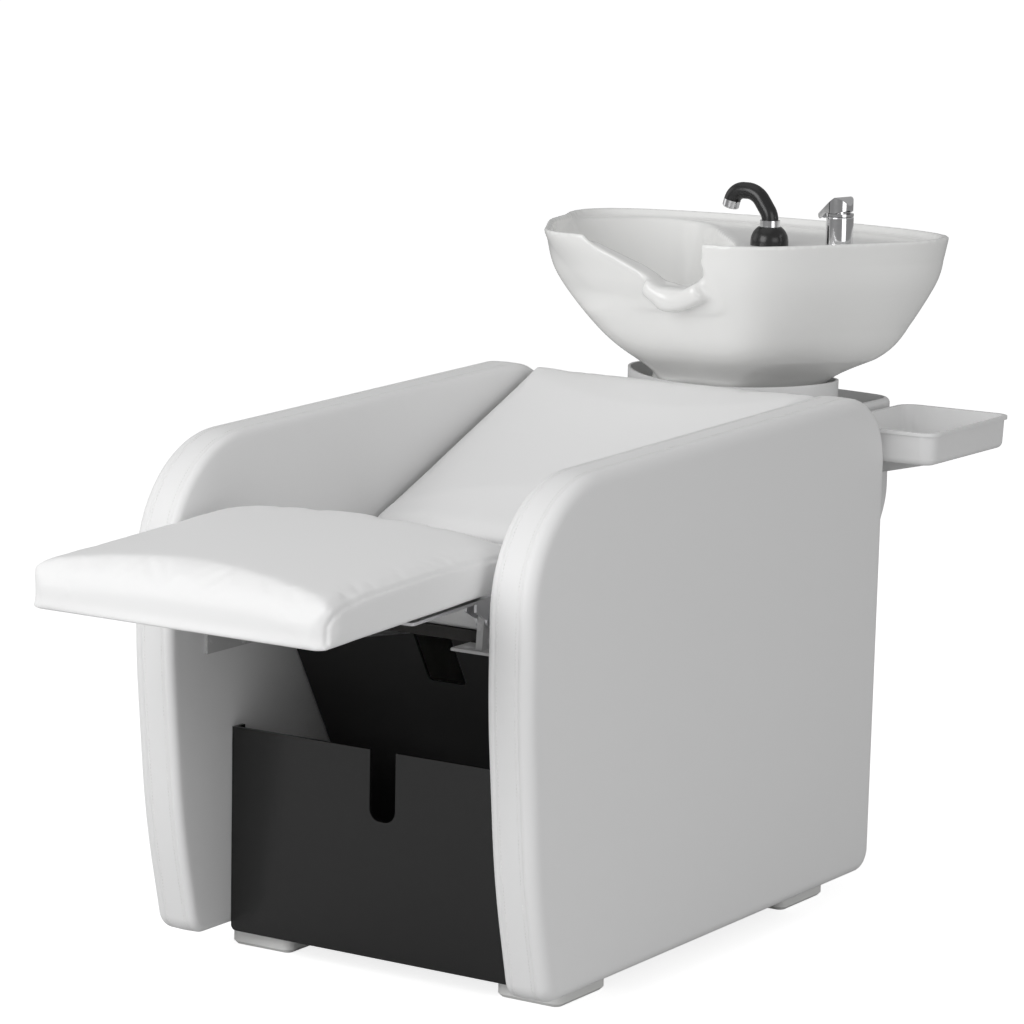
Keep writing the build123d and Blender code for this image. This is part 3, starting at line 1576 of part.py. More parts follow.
handset_side = Plane(
    origin=(handset_x, handset_y, ring_top),
    x_dir=(cos(turn), sin(turn), 0),
    z_dir=(sin(turn), -cos(turn), 0),
)
handset_bends = (
    (handset_root_radius, handset_lean, handset_shaft),
    (handset_bend_radius, half_turn / 2 - handset_lean, handset_level),
    (handset_nose_radius, handset_nose_turn, 0),
)
with BuildPart() as handset_handle:
    with BuildLine(handset_side) as handle_path:
        x, z, lean = 0, 0, 0
        for radius, bend, run in handset_bends:
            middle_x = x + radius * cos(radians(lean))
            middle_z = z - radius * sin(radians(lean))
            CenterArc((middle_x, middle_z), radius, half_turn - lean, -bend)
            lean += bend
            x = middle_x - radius * cos(radians(lean))
            z = middle_z + radius * sin(radians(lean))
            if run:
                end_x = x + run * sin(radians(lean))
                end_z = z + run * cos(radians(lean))
                Line((x, z), (end_x, end_z))
                x, z = end_x, end_z
    handle_wire = Wire(handle_path.edges())
    with BuildSketch(Plane(origin=handle_wire @ 0, z_dir=handle_wire % 0)):
        Circle(handset_grip / 2)
    sweep(path=handle_wire)
pieces["handset_handle"] = handset_handle

with BuildPart() as spray_head:
    with BuildSketch(Plane(origin=handle_wire @ 1, z_dir=handle_wire % 1)):
        Circle(spray_diameter / 2)
    extrude(amount=spray_length)
    chamfer(spray_head.faces().sort_by(Axis.Z)[0].edges(), spray_edge)
pieces["spray_head"] = spray_head

# Side tray and the bracket on the casing that carries it
tray_x = casing_half + tray_side_gap + tray_width / 2
tray_y = tray_front_y + tray_length / 2
tray_low = tray_top - tray_depth
tray_body_width = tray_width - 2 * tray_rim
tray_body_length = tray_length - 2 * tray_rim
with BuildPart() as side_tray:
    with BuildSketch(Plane.XY.offset(tray_top)):
        with Locations((tray_x, tray_y)):
            RectangleRounded(tray_body_width, tray_body_length, tray_corner)
    extrude(amount=-tray_depth, taper=tray_taper)
    fillet(side_tray.faces().sort_by(Axis.Z)[0].edges(), tray_floor_round)
    with BuildSketch(Plane.XY.offset(tray_top)):
        with Locations((tray_x, tray_y)):
            RectangleRounded(tray_width, tray_length, tray_corner + tray_rim)
    extrude(amount=-tray_rim_height)
    with BuildSketch(Plane.XY.offset(tray_top)):
        with Locations((tray_x, tray_y)):
            RectangleRounded(
                tray_body_width - 2 * tray_wall, tray_body_length - 2 * tray_wall, tray_corner - tray_wall
            )
    extrude(amount=tray_wall - tray_depth, taper=tray_taper, mode=Mode.SUBTRACT)
pieces["side_tray"] = side_tray

arm_high = tray_low - soft_gap
with BuildPart() as tray_bracket:
    with BuildSketch(yz_plane(casing_half)):
        with Locations((tray_y, arm_high - tray_arm_root / 2)):
            Rectangle(tray_arm_pitch + tray_arm_root, tray_arm_root)
    extrude(amount=tray_side_gap)
    for sign in (-1, 1):
        with BuildSketch(xz_plane(tray_y + sign * tray_arm_pitch / 2 - tray_arm / 2)):
            with BuildLine():
                Polyline(
                    (casing_half, arm_high),
                    (casing_half + tray_arm_length, arm_high),
                    (casing_half + tray_arm_length, arm_high - tray_arm_tip),
                    (casing_half, arm_high - tray_arm_root),
                    close=True,
                )
            make_face()
        extrude(amount=-tray_arm)
pieces["tray_bracket"] = tray_bracket

# Everything moves so that the middle of its footprint is the origin
corners = [builder.part.bounding_box() for builder in pieces.values()]
centre_x = (min(box.min.X for box in corners) + max(box.max.X for box in corners)) / 2
centre_y = (min(box.min.Y for box in corners) + max(box.max.Y for box in corners)) / 2
for name, builder in pieces.items():
    builder.part.label = name
    placed = builder.part.moved(Location((-centre_x, -centre_y, 0)))
    placed.label = name
    export_step(placed, f"parts/{name}.step")
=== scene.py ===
"""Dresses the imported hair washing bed: upholstery, mouldings, glaze and metal, in a pale studio."""

import logging
import math
from dataclasses import dataclass, field
from enum import Enum
from functools import partial

import bmesh
import bpy
import numpy as np
from mathutils import Matrix, Vector
from mathutils.bvhtree import BVHTree


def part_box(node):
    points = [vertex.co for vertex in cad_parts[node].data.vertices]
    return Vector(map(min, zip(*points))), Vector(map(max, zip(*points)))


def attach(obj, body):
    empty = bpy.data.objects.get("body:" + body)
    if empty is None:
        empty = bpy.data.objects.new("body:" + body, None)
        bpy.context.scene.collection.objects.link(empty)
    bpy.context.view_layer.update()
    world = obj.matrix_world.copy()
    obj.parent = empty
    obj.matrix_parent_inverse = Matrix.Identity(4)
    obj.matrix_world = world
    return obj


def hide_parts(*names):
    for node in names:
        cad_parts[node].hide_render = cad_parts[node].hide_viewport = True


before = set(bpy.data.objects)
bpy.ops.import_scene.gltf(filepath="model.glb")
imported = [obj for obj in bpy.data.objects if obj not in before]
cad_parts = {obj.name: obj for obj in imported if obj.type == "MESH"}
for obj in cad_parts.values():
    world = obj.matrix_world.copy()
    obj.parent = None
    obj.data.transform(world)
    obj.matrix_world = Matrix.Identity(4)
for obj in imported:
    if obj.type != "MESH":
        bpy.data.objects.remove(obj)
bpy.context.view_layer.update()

MM = 0.001
log = logging.getLogger("washing_bed")


def design_zero() -> Vector:
    """The design's zero in the row frame: between the panels, at their front, on the floor."""
    left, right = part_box("side_panel_left"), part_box("side_panel_right")
    return Vector(((left[0].x + right[1].x) / 2, left[0].y, 0.0))


ZERO = design_zero()


def at(x: float, y: float, z: float) -> Vector:
    """A design point in millimetres as a point of the row frame in metres.

    Args:
        x, y, z: millimetres from the design's zero.

    Returns:
        The point in metres.
    """
    return ZERO + Vector((x, y, z)) * MM


def as_rows(points: np.ndarray) -> np.ndarray:
    """Design points in millimetres, one a row, in metres of the row frame."""
    return np.asarray(points, float) * MM + np.array(ZERO)


def add_node(
    tree: bpy.types.NodeTree, kind: str, inputs: dict | None = None, **settings
) -> bpy.types.Node:
    """Adds a node to a tree.

    Args:
        tree: a shader or geometry node tree.
        kind: Blender's name of the node type.
        inputs: socket name or number to a value, or to a socket to link from.
        settings: attributes of the node.

    Returns:
        The node.
    """
    node = tree.nodes.new(kind)
    for key, value in settings.items():
        setattr(node, key, value)
    for key, value in (inputs or {}).items():
        if isinstance(value, bpy.types.NodeSocket):
            tree.links.new(value, node.inputs[key])
        else:
            node.inputs[key].default_value = value
    return node


class Tree:
    """A material's node tree, written with short calls."""

    def __init__(self, name: str) -> None:
        """Starts an empty material with one Principled shader.

        Args:
            name: the material's name.
        """
        self.material = bpy.data.materials.new(name)
        self.material.use_nodes = True
        self.nodes = self.material.node_tree.nodes
        self.links = self.material.node_tree.links
        self.shader = self.nodes["Principled BSDF"]
        self.place = self.add("ShaderNodeTexCoord").outputs["Object"]

    def add(self, kind: str, inputs: dict | None = None, **settings) -> bpy.types.Node:
        """Adds a node to the material."""
        return add_node(self.material.node_tree, kind, inputs, **settings)

    def stretch(self, scale: tuple[float, float, float]) -> bpy.types.NodeSocket:
        """Object coordinates stretched by a scale for each axis."""
        return self.add("ShaderNodeMapping", {"Vector": self.place, "Scale": scale}).outputs[0]

    def noise(
        self, scale: float, detail: float = 3.0, rough: float = 0.5, place=None
    ) -> bpy.types.NodeSocket:
        """Noise of a number of cells a metre.

        Args:
            scale: cells a metre.
            detail: octaves.
            rough: strength of the finer octaves.
            place: coordinates other than the object's own.

        Returns:
            The factor.
        """
        inputs = {"Vector": place or self.place, "Scale": scale, "Detail": detail, "Roughness": rough}
        return self.add("ShaderNodeTexNoise", inputs).outputs[0]

    def cells(self, scale: float, feature: str) -> bpy.types.NodeSocket:
        """Distance to the nearest cell of a Voronoi pattern with a number of cells a metre."""
        inputs = {"Vector": self.place, "Scale": scale}
        return self.add("ShaderNodeTexVoronoi", inputs, feature=feature).outputs["Distance"]

    def span(
        self, value, low: float, high: float, start: float = 0.0, end: float = 1.0
    ) -> bpy.types.NodeSocket:
        """A value from start to end as one from low to high."""
        inputs = {0: value, 1: start, 2: end, 3: low, 4: high}
        return self.add("ShaderNodeMapRange", inputs).outputs[0]

    def sum(self, first, second, share: float = 1.0) -> bpy.types.NodeSocket:
        """First plus a share of second."""
        inputs = {0: second, 1: share, 2: first}
        return self.add("ShaderNodeMath", inputs, operation="MULTIPLY_ADD").outputs[0]

    def mix(self, factor, first: tuple, second: tuple) -> bpy.types.NodeSocket:
        """A colour between two, by a factor."""
        inputs = {0: factor, 6: (*first, 1.0), 7: (*second, 1.0)}
        return self.add("ShaderNodeMix", inputs, data_type="RGBA").outputs[2]

    def bump(self, height, depth: float, strength: float = 1.0) -> None:
        """Raises the surface by a height pattern of a depth in metres."""
        node = self.add("ShaderNodeBump", {"Height": height, "Distance": depth, "Strength": strength})
        self.links.new(node.outputs[0], self.shader.inputs["Normal"])

    def set(self, **values) -> None:
        """Sets or links the shader's sockets, by their names with _ for a space."""
        for key, value in values.items():
            socket = self.shader.inputs[key.replace("_", " ")]
            if isinstance(value, bpy.types.NodeSocket):
                self.links.new(value, socket)
            else:
                socket.default_value = value


Colour = tuple[float, float, float]


def shade(colour: Colour, share: float) -> Colour:
    """A colour made lighter or darker by a share."""
    return tuple(min(1.0, c * share) for c in colour)


@dataclass(frozen=True)
class Finish:
    """A named finish. Each kind writes its own tree."""

    name: str
    colour: Colour
    roughness: float = 0.4

    def tree(self) -> Tree:
        """The finish's node tree."""
        raise NotImplementedError

    def material(self) -> bpy.types.Material:
        """The finish's material, made once."""
        return bpy.data.materials.get(self.name) or self.tree().material


@dataclass(frozen=True)
class SyntheticLeather(Finish):
    """Smooth coated fabric with a pebbled grain."""

    grain: float = 620.0
    depth: float = 0.00022

    def tree(self) -> Tree:
        """Pebbles, pores and a faint unevenness of colour and gloss."""
        tree = Tree(self.name)
        drift = tree.span(tree.noise(5.0, 4.0), 0.0, 1.0, 0.3, 0.7)
        gloss = tree.noise(38.0, 4.0)
        tree.set(
            Base_Color=tree.mix(drift, shade(self.colour, 0.975), self.colour),
            Roughness=tree.span(gloss, self.roughness - 0.05, self.roughness + 0.06, 0.3, 0.7),
            Specular_IOR_Level=0.42,
            Coat_Weight=0.08,
            Coat_Roughness=0.38,
        )
        pebbles = tree.cells(self.grain, "SMOOTH_F1")
        pores = tree.noise(self.grain * 2.4, 2.0)
        tree.bump(tree.sum(pebbles, pores, 0.35), self.depth, 0.55)
        return tree


@dataclass(frozen=True)
class Moulding(Finish):
    """Injection-moulded plastic with a fine spark-eroded texture."""

    texture: float = 1400.0
    depth: float = 0.00008
    coat: float = 0.15

    def tree(self) -> Tree:
        """Fine texture, flow marks in the gloss and a trace of handling."""
        tree = Tree(self.name)
        marks = tree.noise(3.2, 3.0, 0.5, tree.stretch((1.0, 0.5, 2.6)))
        flow = tree.span(marks, 0.0, 1.0, 0.3, 0.7)
        gloss = tree.noise(24.0, 5.0)
        tree.set(
            Base_Color=tree.mix(flow, shade(self.colour, 0.965), self.colour),
            Roughness=tree.span(gloss, self.roughness - 0.05, self.roughness + 0.07, 0.3, 0.7),
            Coat_Weight=self.coat,
            Coat_Roughness=0.2,
        )
        tree.bump(tree.noise(self.texture, 2.0), self.depth, 0.6)
        return tree


@dataclass(frozen=True)
class GlossSheet(Finish):
    """Polished black acrylic, slightly wavy, with fine dust."""

    wave: float = 5.0
    depth: float = 0.0006

    def tree(self) -> Tree:
        """Waviness in the reflection, dust in the gloss."""
        tree = Tree(self.name)
        dust = tree.span(tree.noise(900.0, 2.0, 0.7), 0.0, 1.0, 0.62, 0.8)
        tree.set(
            Base_Color=tree.mix(dust, self.colour, shade(self.colour, 2.5)),
            Roughness=tree.span(tree.noise(9.0, 5.0), self.roughness, self.roughness + 0.06, 0.35, 0.75),
            Specular_IOR_Level=0.6,
            Coat_Weight=0.5,
            Coat_Roughness=0.03,
        )
        tree.bump(tree.noise(self.wave, 1.5), self.depth, 0.35)
        return tree


@dataclass(frozen=True)
class Glaze(Finish):
    """White glaze over vitreous china."""

    ripple: float = 7.0
    depth: float = 0.0007

    def tree(self) -> Tree:
        """Slow ripples in the glaze and a faint warm and cool drift."""
        tree = Tree(self.name)
        drift = tree.span(tree.noise(4.0, 3.0), 0.0, 1.0, 0.35, 0.65)
        warm = (self.colour[0], self.colour[1] * 0.995, self.colour[2] * 0.98)
        tree.set(
            Base_Color=tree.mix(drift, warm, self.colour),
            Roughness=tree.span(tree.noise(14.0, 4.0), self.roughness, self.roughness + 0.05, 0.3, 0.7),
            Specular_IOR_Level=0.55,
            Coat_Weight=0.6,
            Coat_Roughness=0.03,
            Coat_IOR=1.52,
        )
        height = tree.sum(tree.noise(self.ripple, 2.0), tree.noise(160.0, 2.0), 0.02)
        tree.bump(height, self.depth, 0.5)
        return tree


@dataclass(frozen=True)
class Plating(Finish):
    """Polished or bright metal plating."""

    smear: float = 0.05
    pull: tuple[float, float, float] = (1.0, 1.0, 1.0)
    line: float = 60.0
    depth: float = 0.00003

    def tree(self) -> Tree:
        """Smears in the gloss and drawn lines where the metal was brushed."""
        tree = Tree(self.name)
        lines = tree.noise(self.line, 5.0, 0.6, tree.stretch(self.pull))
        tree.set(
            Base_Color=tree.mix(tree.span(lines, 0.0, 1.0, 0.3, 0.7), shade(self.colour, 0.93), self.colour),
            Metallic=1.0,
            Roughness=tree.span(lines, self.roughness, self.roughness + self.smear, 0.3, 0.75),
        )
        tree.bump(lines, self.depth, 0.4)
        return tree


@dataclass(frozen=True)
class PowderCoat(Finish):
    """Satin powder coat on steel, with its orange peel."""

    peel: float = 420.0
    depth: float = 0.00012

    def tree(self) -> Tree:
        """Orange peel and light rubbed patches."""
        tree = Tree(self.name)
        rubbed = tree.span(tree.noise(30.0, 6.0, 0.65), 0.0, 1.0, 0.56, 0.78)
        tree.set(
            Base_Color=tree.mix(rubbed, self.colour, shade(self.colour, 1.7)),
            Roughness=tree.span(rubbed, self.roughness, self.roughness - 0.1),
            Specular_IOR_Level=0.45,
        )
        tree.bump(tree.noise(self.peel, 2.0), self.depth, 0.5)
        return tree


@dataclass(frozen=True)
class Plywood(Finish):
    """Birch plywood with long figure."""

    figure: float = 26.0

    def tree(self) -> Tree:
        """Grain drawn along the board, with darker wavy rings."""
        tree = Tree(self.name)
        grain = tree.noise(self.figure, 6.0, 0.6, tree.stretch((9.0, 0.6, 9.0)))
        rings = tree.add(
            "ShaderNodeTexWave",
            {"Vector": tree.stretch((1.0, 0.12, 1.0)), "Scale": 22.0, "Distortion": 7.0, "Detail": 3.0},
        ).outputs["Fac"]
        figure = tree.sum(tree.span(grain, 0.0, 0.7), rings, 0.3)
        tree.set(
            Base_Color=tree.mix(figure, shade(self.colour, 0.72), shade(self.colour, 1.08)),
            Roughness=tree.span(grain, self.roughness - 0.08, self.roughness + 0.08, 0.3, 0.7),
        )
        tree.bump(figure, 0.0002, 0.5)
        return tree


@dataclass(frozen=True)
class Rubber(Finish):
    """Matte rubber or pressed lining with a sandy surface."""

    sand: float = 900.0

    def tree(self) -> Tree:
        """Sandy bump and a chalky drift of colour."""
        tree = Tree(self.name)
        chalk = tree.span(tree.noise(55.0, 5.0), 0.0, 1.0, 0.4, 0.75)
        tree.set(
            Base_Color=tree.mix(chalk, self.colour, shade(self.colour, 1.35)),
            Roughness=tree.span(chalk, self.roughness - 0.06, self.roughness + 0.04),
            Specular_IOR_Level=0.3,
        )
        tree.bump(tree.noise(self.sand, 3.0), 0.0001, 0.6)
        return tree


class Look(Enum):
    """Every finish of the unit."""

    UPHOLSTERY = SyntheticLeather("white_upholstery", (0.80, 0.80, 0.80), 0.44)
    PANELS = SyntheticLeather("panel_upholstery", (0.76, 0.76, 0.76), 0.47)
    THREAD = Rubber("thread", (0.72, 0.72, 0.71), 0.8)
    BOARD = Plywood("board", (0.50, 0.35, 0.20), 0.62)
    FRAME = PowderCoat("frame_steel", (0.012, 0.012, 0.013), 0.45)
    PALE_FRAME = PowderCoat("pale_frame", (0.55, 0.55, 0.55), 0.45)
    # Near-black plywood for the seat and leg boards: painted shade, standing in for the shadow under the
    # seat and the leg rest.
    PAINTED_SHADE_BOARD = Plywood("painted_shade_board", (0.022, 0.02, 0.018), 0.6)
    ZINC = Plating("zinc_steel", (0.55, 0.55, 0.56), 0.3, 0.14, (1.0, 8.0, 1.0), 120.0)
    BOLTS = Plating("bolt_steel", (0.45, 0.45, 0.47), 0.28, 0.14)
    COVER = GlossSheet("gloss_black", (0.004, 0.004, 0.0045), 0.03)
    SHIELD = PowderCoat("shield_black", (0.005, 0.005, 0.005), 0.42, 700.0, 0.00006)
    FOOT = Moulding("foot_white", (0.78, 0.78, 0.77), 0.38)
    CASING = Moulding("casing_white", (0.62, 0.62, 0.62), 0.3, 1400.0, 0.00006, 0.3)
    TRAY = Moulding("tray_white", (0.74, 0.74, 0.74), 0.3, 1400.0, 0.00005, 0.3)
    CERAMIC = Glaze("ceramic", (0.84, 0.84, 0.835), 0.07)
    CHROME = Plating("chrome", (0.72, 0.72, 0.73), 0.045, 0.06, (1.0, 1.0, 1.0), 35.0)
    HANDLE = GlossSheet("handle_black", (0.004, 0.004, 0.004), 0.09, 30.0, 0.0002)
    RUBBER = Rubber("rubber", (0.018, 0.018, 0.018), 0.7)
    DRIVE = Moulding("drive_grey", (0.022, 0.022, 0.024), 0.45, 900.0, 0.00012, 0.05)
    LINING = Rubber("friction_lining", (0.06, 0.045, 0.035), 0.85)


def dress(thing: bpy.types.Object, look: Look) -> None:
    """Gives an object one finish.

    Args:
        thing: a mesh object.
        look: its finish.
    """
    thing.data.materials.clear()
    thing.data.materials.append(look.value.material())


def mesh_piece(name: str, points: np.ndarray, faces: list, look: Look) -> bpy.types.Object:
    """A smooth-shaded mesh object in the row frame.

    Args:
        name: the piece's name.
        points: corners in metres.
        faces: corner numbers of each face.
        look: its finish.

    Returns:
        The object, linked to the scene.
    """
    mesh = bpy.data.meshes.new(name)
    mesh.from_pydata([tuple(p) for p in points], [], faces)
    mesh.validate()
    mesh.update()
    piece = bpy.data.objects.new(name, mesh)
    bpy.context.scene.collection.objects.link(piece)
    mesh.polygons.foreach_set("use_smooth", [True] * len(mesh.polygons))
    dress(piece, look)
    return piece


def face_outwards(piece: bpy.types.Object) -> None:
    """Turns a closed mesh's faces outwards."""
    body = bmesh.new()
    body.from_mesh(piece.data)
    bmesh.ops.recalc_face_normals(body, faces=body.faces)
    body.to_mesh(piece.data)
    body.free()
    piece.data.update()


def merged_copy(node: str, name: str, look: Look) -> bpy.types.Object:
    """A copy of a CAD node with its loose triangles merged.

    Args:
        node: the CAD node's name.
        name: the copy's name.
        look: its finish.

    Returns:
        The copy.
    """
    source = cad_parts[node]
    body = bmesh.new()
    body.from_mesh(source.data)
    bmesh.ops.remove_doubles(body, verts=body.verts, dist=0.01 * MM)
    mesh = bpy.data.meshes.new(name)
    body.to_mesh(mesh)
    body.free()
    if "custom_normal" in mesh.attributes:
        mesh.attributes.remove(mesh.attributes["custom_normal"])
    piece = bpy.data.objects.new(name, mesh)
    bpy.context.scene.collection.objects.link(piece)
    mesh.polygons.foreach_set("use_smooth", [True] * len(mesh.polygons))
    dress(piece, look)
    return piece


def bake_modifiers(piece: bpy.types.Object) -> None:
    """Replaces a piece's mesh by its evaluated one and removes its modifiers."""
    view = bpy.context.evaluated_depsgraph_get()
    baked = bpy.data.meshes.new_from_object(piece.evaluated_get(view))
    piece.modifiers.clear()
    piece.data = baked


def rebuild_in_cells(piece: bpy.types.Object, cell: float, softening: int) -> None:
    """Replaces a piece's mesh by one of even cells with soft arrises.

    Args:
        piece: a closed mesh object.
        cell: the cells' side in millimetres.
        softening: how often the new mesh is smoothed.
    """
    cells = piece.modifiers.new("cells", "REMESH")
    cells.mode = "VOXEL"
    cells.voxel_size = cell * MM
    ease = piece.modifiers.new("ease", "SMOOTH")
    ease.factor = 0.5
    ease.iterations = softening
    bake_modifiers(piece)


def corners_of(piece: bpy.types.Object) -> np.ndarray:
    """A piece's corners as rows."""
    flat = np.empty(len(piece.data.vertices) * 3, np.float32)
    piece.data.vertices.foreach_get("co", flat)
    return flat.reshape(-1, 3).astype(float)


def design_corners_of(piece: bpy.types.Object) -> np.ndarray:
    """A piece's corners as rows of design points in millimetres."""
    return (corners_of(piece) - np.array(ZERO)) / MM


def set_corners(piece: bpy.types.Object, points: np.ndarray) -> None:
    """Moves a piece's corners."""
    piece.data.vertices.foreach_set("co", points.astype(np.float32).ravel())
    piece.data.update()


def normals_of(piece: bpy.types.Object) -> np.ndarray:
    """A piece's corner normals as rows."""
    flat = np.empty(len(piece.data.vertices) * 3, np.float32)
    piece.data.vertex_normals.foreach_get("vector", flat)
    return flat.reshape(-1, 3).astype(float)


def eased(share: np.ndarray) -> np.ndarray:
    """A share from nought to one with soft ends."""
    share = np.clip(share, 0.0, 1.0)
    return share * share * (3 - 2 * share)


def along(points: np.ndarray, step: float, closed: bool = False) -> np.ndarray:
    """Points every step along a polyline.

    Args:
        points: the polyline's corners, one a row.
        step: the distance between points, in the rows' unit.
        closed: whether the last corner joins the first.

    Returns:
        The new points.
    """
    line = np.vstack([points, points[:1]]) if closed else np.asarray(points, float)
    run = np.concatenate([[0.0], np.cumsum(np.linalg.norm(np.diff(line, axis=0), axis=1))])
    count = max(2, int(round(run[-1] / step)))
    where = np.linspace(0.0, run[-1], count + 1)
    made = np.column_stack([np.interp(where, run, line[:, k]) for k in range(line.shape[1])])
    return made[:-1] if closed else made


def rounded_outline(
    points: list, radii: list, turn_step: float = 0.035, run_step: float = 12.0
) -> np.ndarray:
    """A closed outline with an arc of its own radius at each corner.

    Args:
        points: corners, in millimetres.
        radii: the arc's radius at each corner.
        turn_step: radians of an arc between points.
        run_step: millimetres of a run between points.

    Returns:
        Points of the outline, one a row.
    """
    made = []
    corners = [np.array(p, float) for p in points]
    for here in range(len(corners)):
        before, corner, after = corners[here - 1], corners[here], corners[(here + 1) % len(corners)]
        back = (before - corner) / np.linalg.norm(before - corner)
        ahead = (after - corner) / np.linalg.norm(after - corner)
        half = math.acos(float(np.clip(back @ ahead, -1, 1))) / 2
        reach = radii[here] / math.tan(half)
        centre = corner + (back + ahead) / np.linalg.norm(back + ahead) * radii[here] / math.sin(half)
        start, end = corner + back * reach - centre, corner + ahead * reach - centre
        first = math.atan2(start[1], start[0])
        sweep = (math.atan2(end[1], end[0]) - first + math.pi) % (2 * math.pi) - math.pi
        count = max(3, int(abs(sweep) / turn_step), int(abs(sweep) * radii[here] / run_step))
        for step in range(count + 1):
            angle = first + sweep * step / count
            made.append(centre + radii[here] * np.array((math.cos(angle), math.sin(angle))))
    line = []
    for here in range(len(made)):
        run = made[(here + 1) % len(made)] - made[here]
        pieces = max(1, int(np.linalg.norm(run) / run_step))
        line.extend(made[here] + run * share / pieces for share in range(pieces))
    return np.array(line)


def outward(outline: np.ndarray) -> np.ndarray:
    """Unit normals of a closed plane outline, pointing away from its middle."""
    tangent = np.roll(outline, -1, axis=0) - np.roll(outline, 1, axis=0)
    tangent /= np.linalg.norm(tangent, axis=1)[:, None]
    normal = np.column_stack([tangent[:, 1], -tangent[:, 0]])
    area = np.sum(outline[:, 0] * np.roll(outline[:, 1], -1) - np.roll(outline[:, 0], -1) * outline[:, 1])
    return normal if area > 0 else -normal


def loft_faces(rings: int, count: int) -> list:
    """Faces between rings of points, with a face on each end.

    Args:
        rings: how many rings.
        count: points in a ring.

    Returns:
        The faces.
    """
    faces = []
    for ring in range(rings - 1):
        for k in range(count):
            a, b = ring * count + k, ring * count + (k + 1) % count
            faces.append((a, b, b + count, a + count))
    faces.append(tuple(range(count))[::-1])
    faces.append(tuple(range((rings - 1) * count, rings * count)))
    return faces


@dataclass
class StitchRow:
    """Stitches along a line, made by a Geometry Nodes tree."""

    name: str
    body: str
    length: float = 3.4
    pitch: float = 5.0
    thread: float = 0.45
    slot: str = "panel_upholstery"

    def tree(self) -> bpy.types.GeometryNodeTree:
        """The tree that sets one thread loop at each step of its curve."""
        tree = bpy.data.node_groups.new(f"{self.name}_tree", "GeometryNodeTree")
        face = tree.interface
        face.new_socket("Line", in_out="INPUT", socket_type="NodeSocketGeometry")
        for label in ("Pitch", "Length", "Thread"):
            face.new_socket(label, in_out="INPUT", socket_type="NodeSocketFloat")
        face.new_socket("Stitches", in_out="OUTPUT", socket_type="NodeSocketGeometry")
        add = partial(add_node, tree)
        entry = add("NodeGroupInput").outputs
        runs = {"Curve": entry["Line"], "Length": entry["Pitch"]}
        steps = add("GeometryNodeResampleCurve", runs, mode="LENGTH")
        tangent = add("GeometryNodeInputTangent")
        turn = add("FunctionNodeAlignRotationToVector", {"Vector": tangent.outputs[0]}, axis="Z")
        ball = {"Segments": 6, "Rings": 5, "Radius": entry["Thread"]}
        bead = add("GeometryNodeMeshUVSphere", ball)
        ratio = add("ShaderNodeMath", {0: entry["Length"], 1: entry["Thread"]}, operation="DIVIDE")
        half = add("ShaderNodeMath", {0: ratio.outputs[0], 1: 1 / 2}, operation="MULTIPLY")
        shape = add("ShaderNodeCombineXYZ", {0: 1.0, 1: 1.0, 2: half.outputs[0]})
        place = add("GeometryNodeInstanceOnPoints", {
            "Points": steps.outputs[0],
            "Instance": bead.outputs[0],
            "Rotation": turn.outputs[0],
            "Scale": shape.outputs[0],
        })
        real = add("GeometryNodeRealizeInstances", {0: place.outputs[0]})
        smooth = add("GeometryNodeSetShadeSmooth", {0: real.outputs[0]})
        thread = {0: smooth.outputs[0], "Material": Look.THREAD.value.material()}
        paint = add("GeometryNodeSetMaterial", thread)
        add("NodeGroupOutput", {0: paint.outputs[0]})
        return tree

    def build(self, lines: list) -> bpy.types.Object:
        """Sews along the lines.

        Args:
            lines: each an array of points in metres, and whether it is closed.

        Returns:
            The stitches as one mesh that rides on the row's body.
        """
        curve = bpy.data.curves.new(f"{self.name}_line", "CURVE")
        curve.dimensions = "3D"
        for points, closed in lines:
            spline = curve.splines.new("POLY")
            spline.points.add(len(points) - 1)
            for spot, point in zip(spline.points, points):
                spot.co = (*point, 1.0)
            spline.use_cyclic_u = closed
        carrier = bpy.data.objects.new(f"{self.name}_line", curve)
        bpy.context.scene.collection.objects.link(carrier)
        tree = self.tree()
        sewing = carrier.modifiers.new("sewing", "NODES")
        sewing.node_group = tree
        sizes = {"Pitch": self.pitch * MM, "Length": self.length * MM, "Thread": self.thread * MM}
        for item in tree.interface.items_tree:
            if item.in_out == "INPUT" and item.name in sizes:
                sewing[item.identifier] = sizes[item.name]
        view = bpy.context.evaluated_depsgraph_get()
        mesh = bpy.data.meshes.new_from_object(carrier.evaluated_get(view))
        bpy.data.objects.remove(carrier)
        row = bpy.data.objects.new(self.name, mesh)
        bpy.context.scene.collection.objects.link(row)
        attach(row, self.body)
        log.info("%s: %d faces", self.name, len(mesh.polygons))
        return row


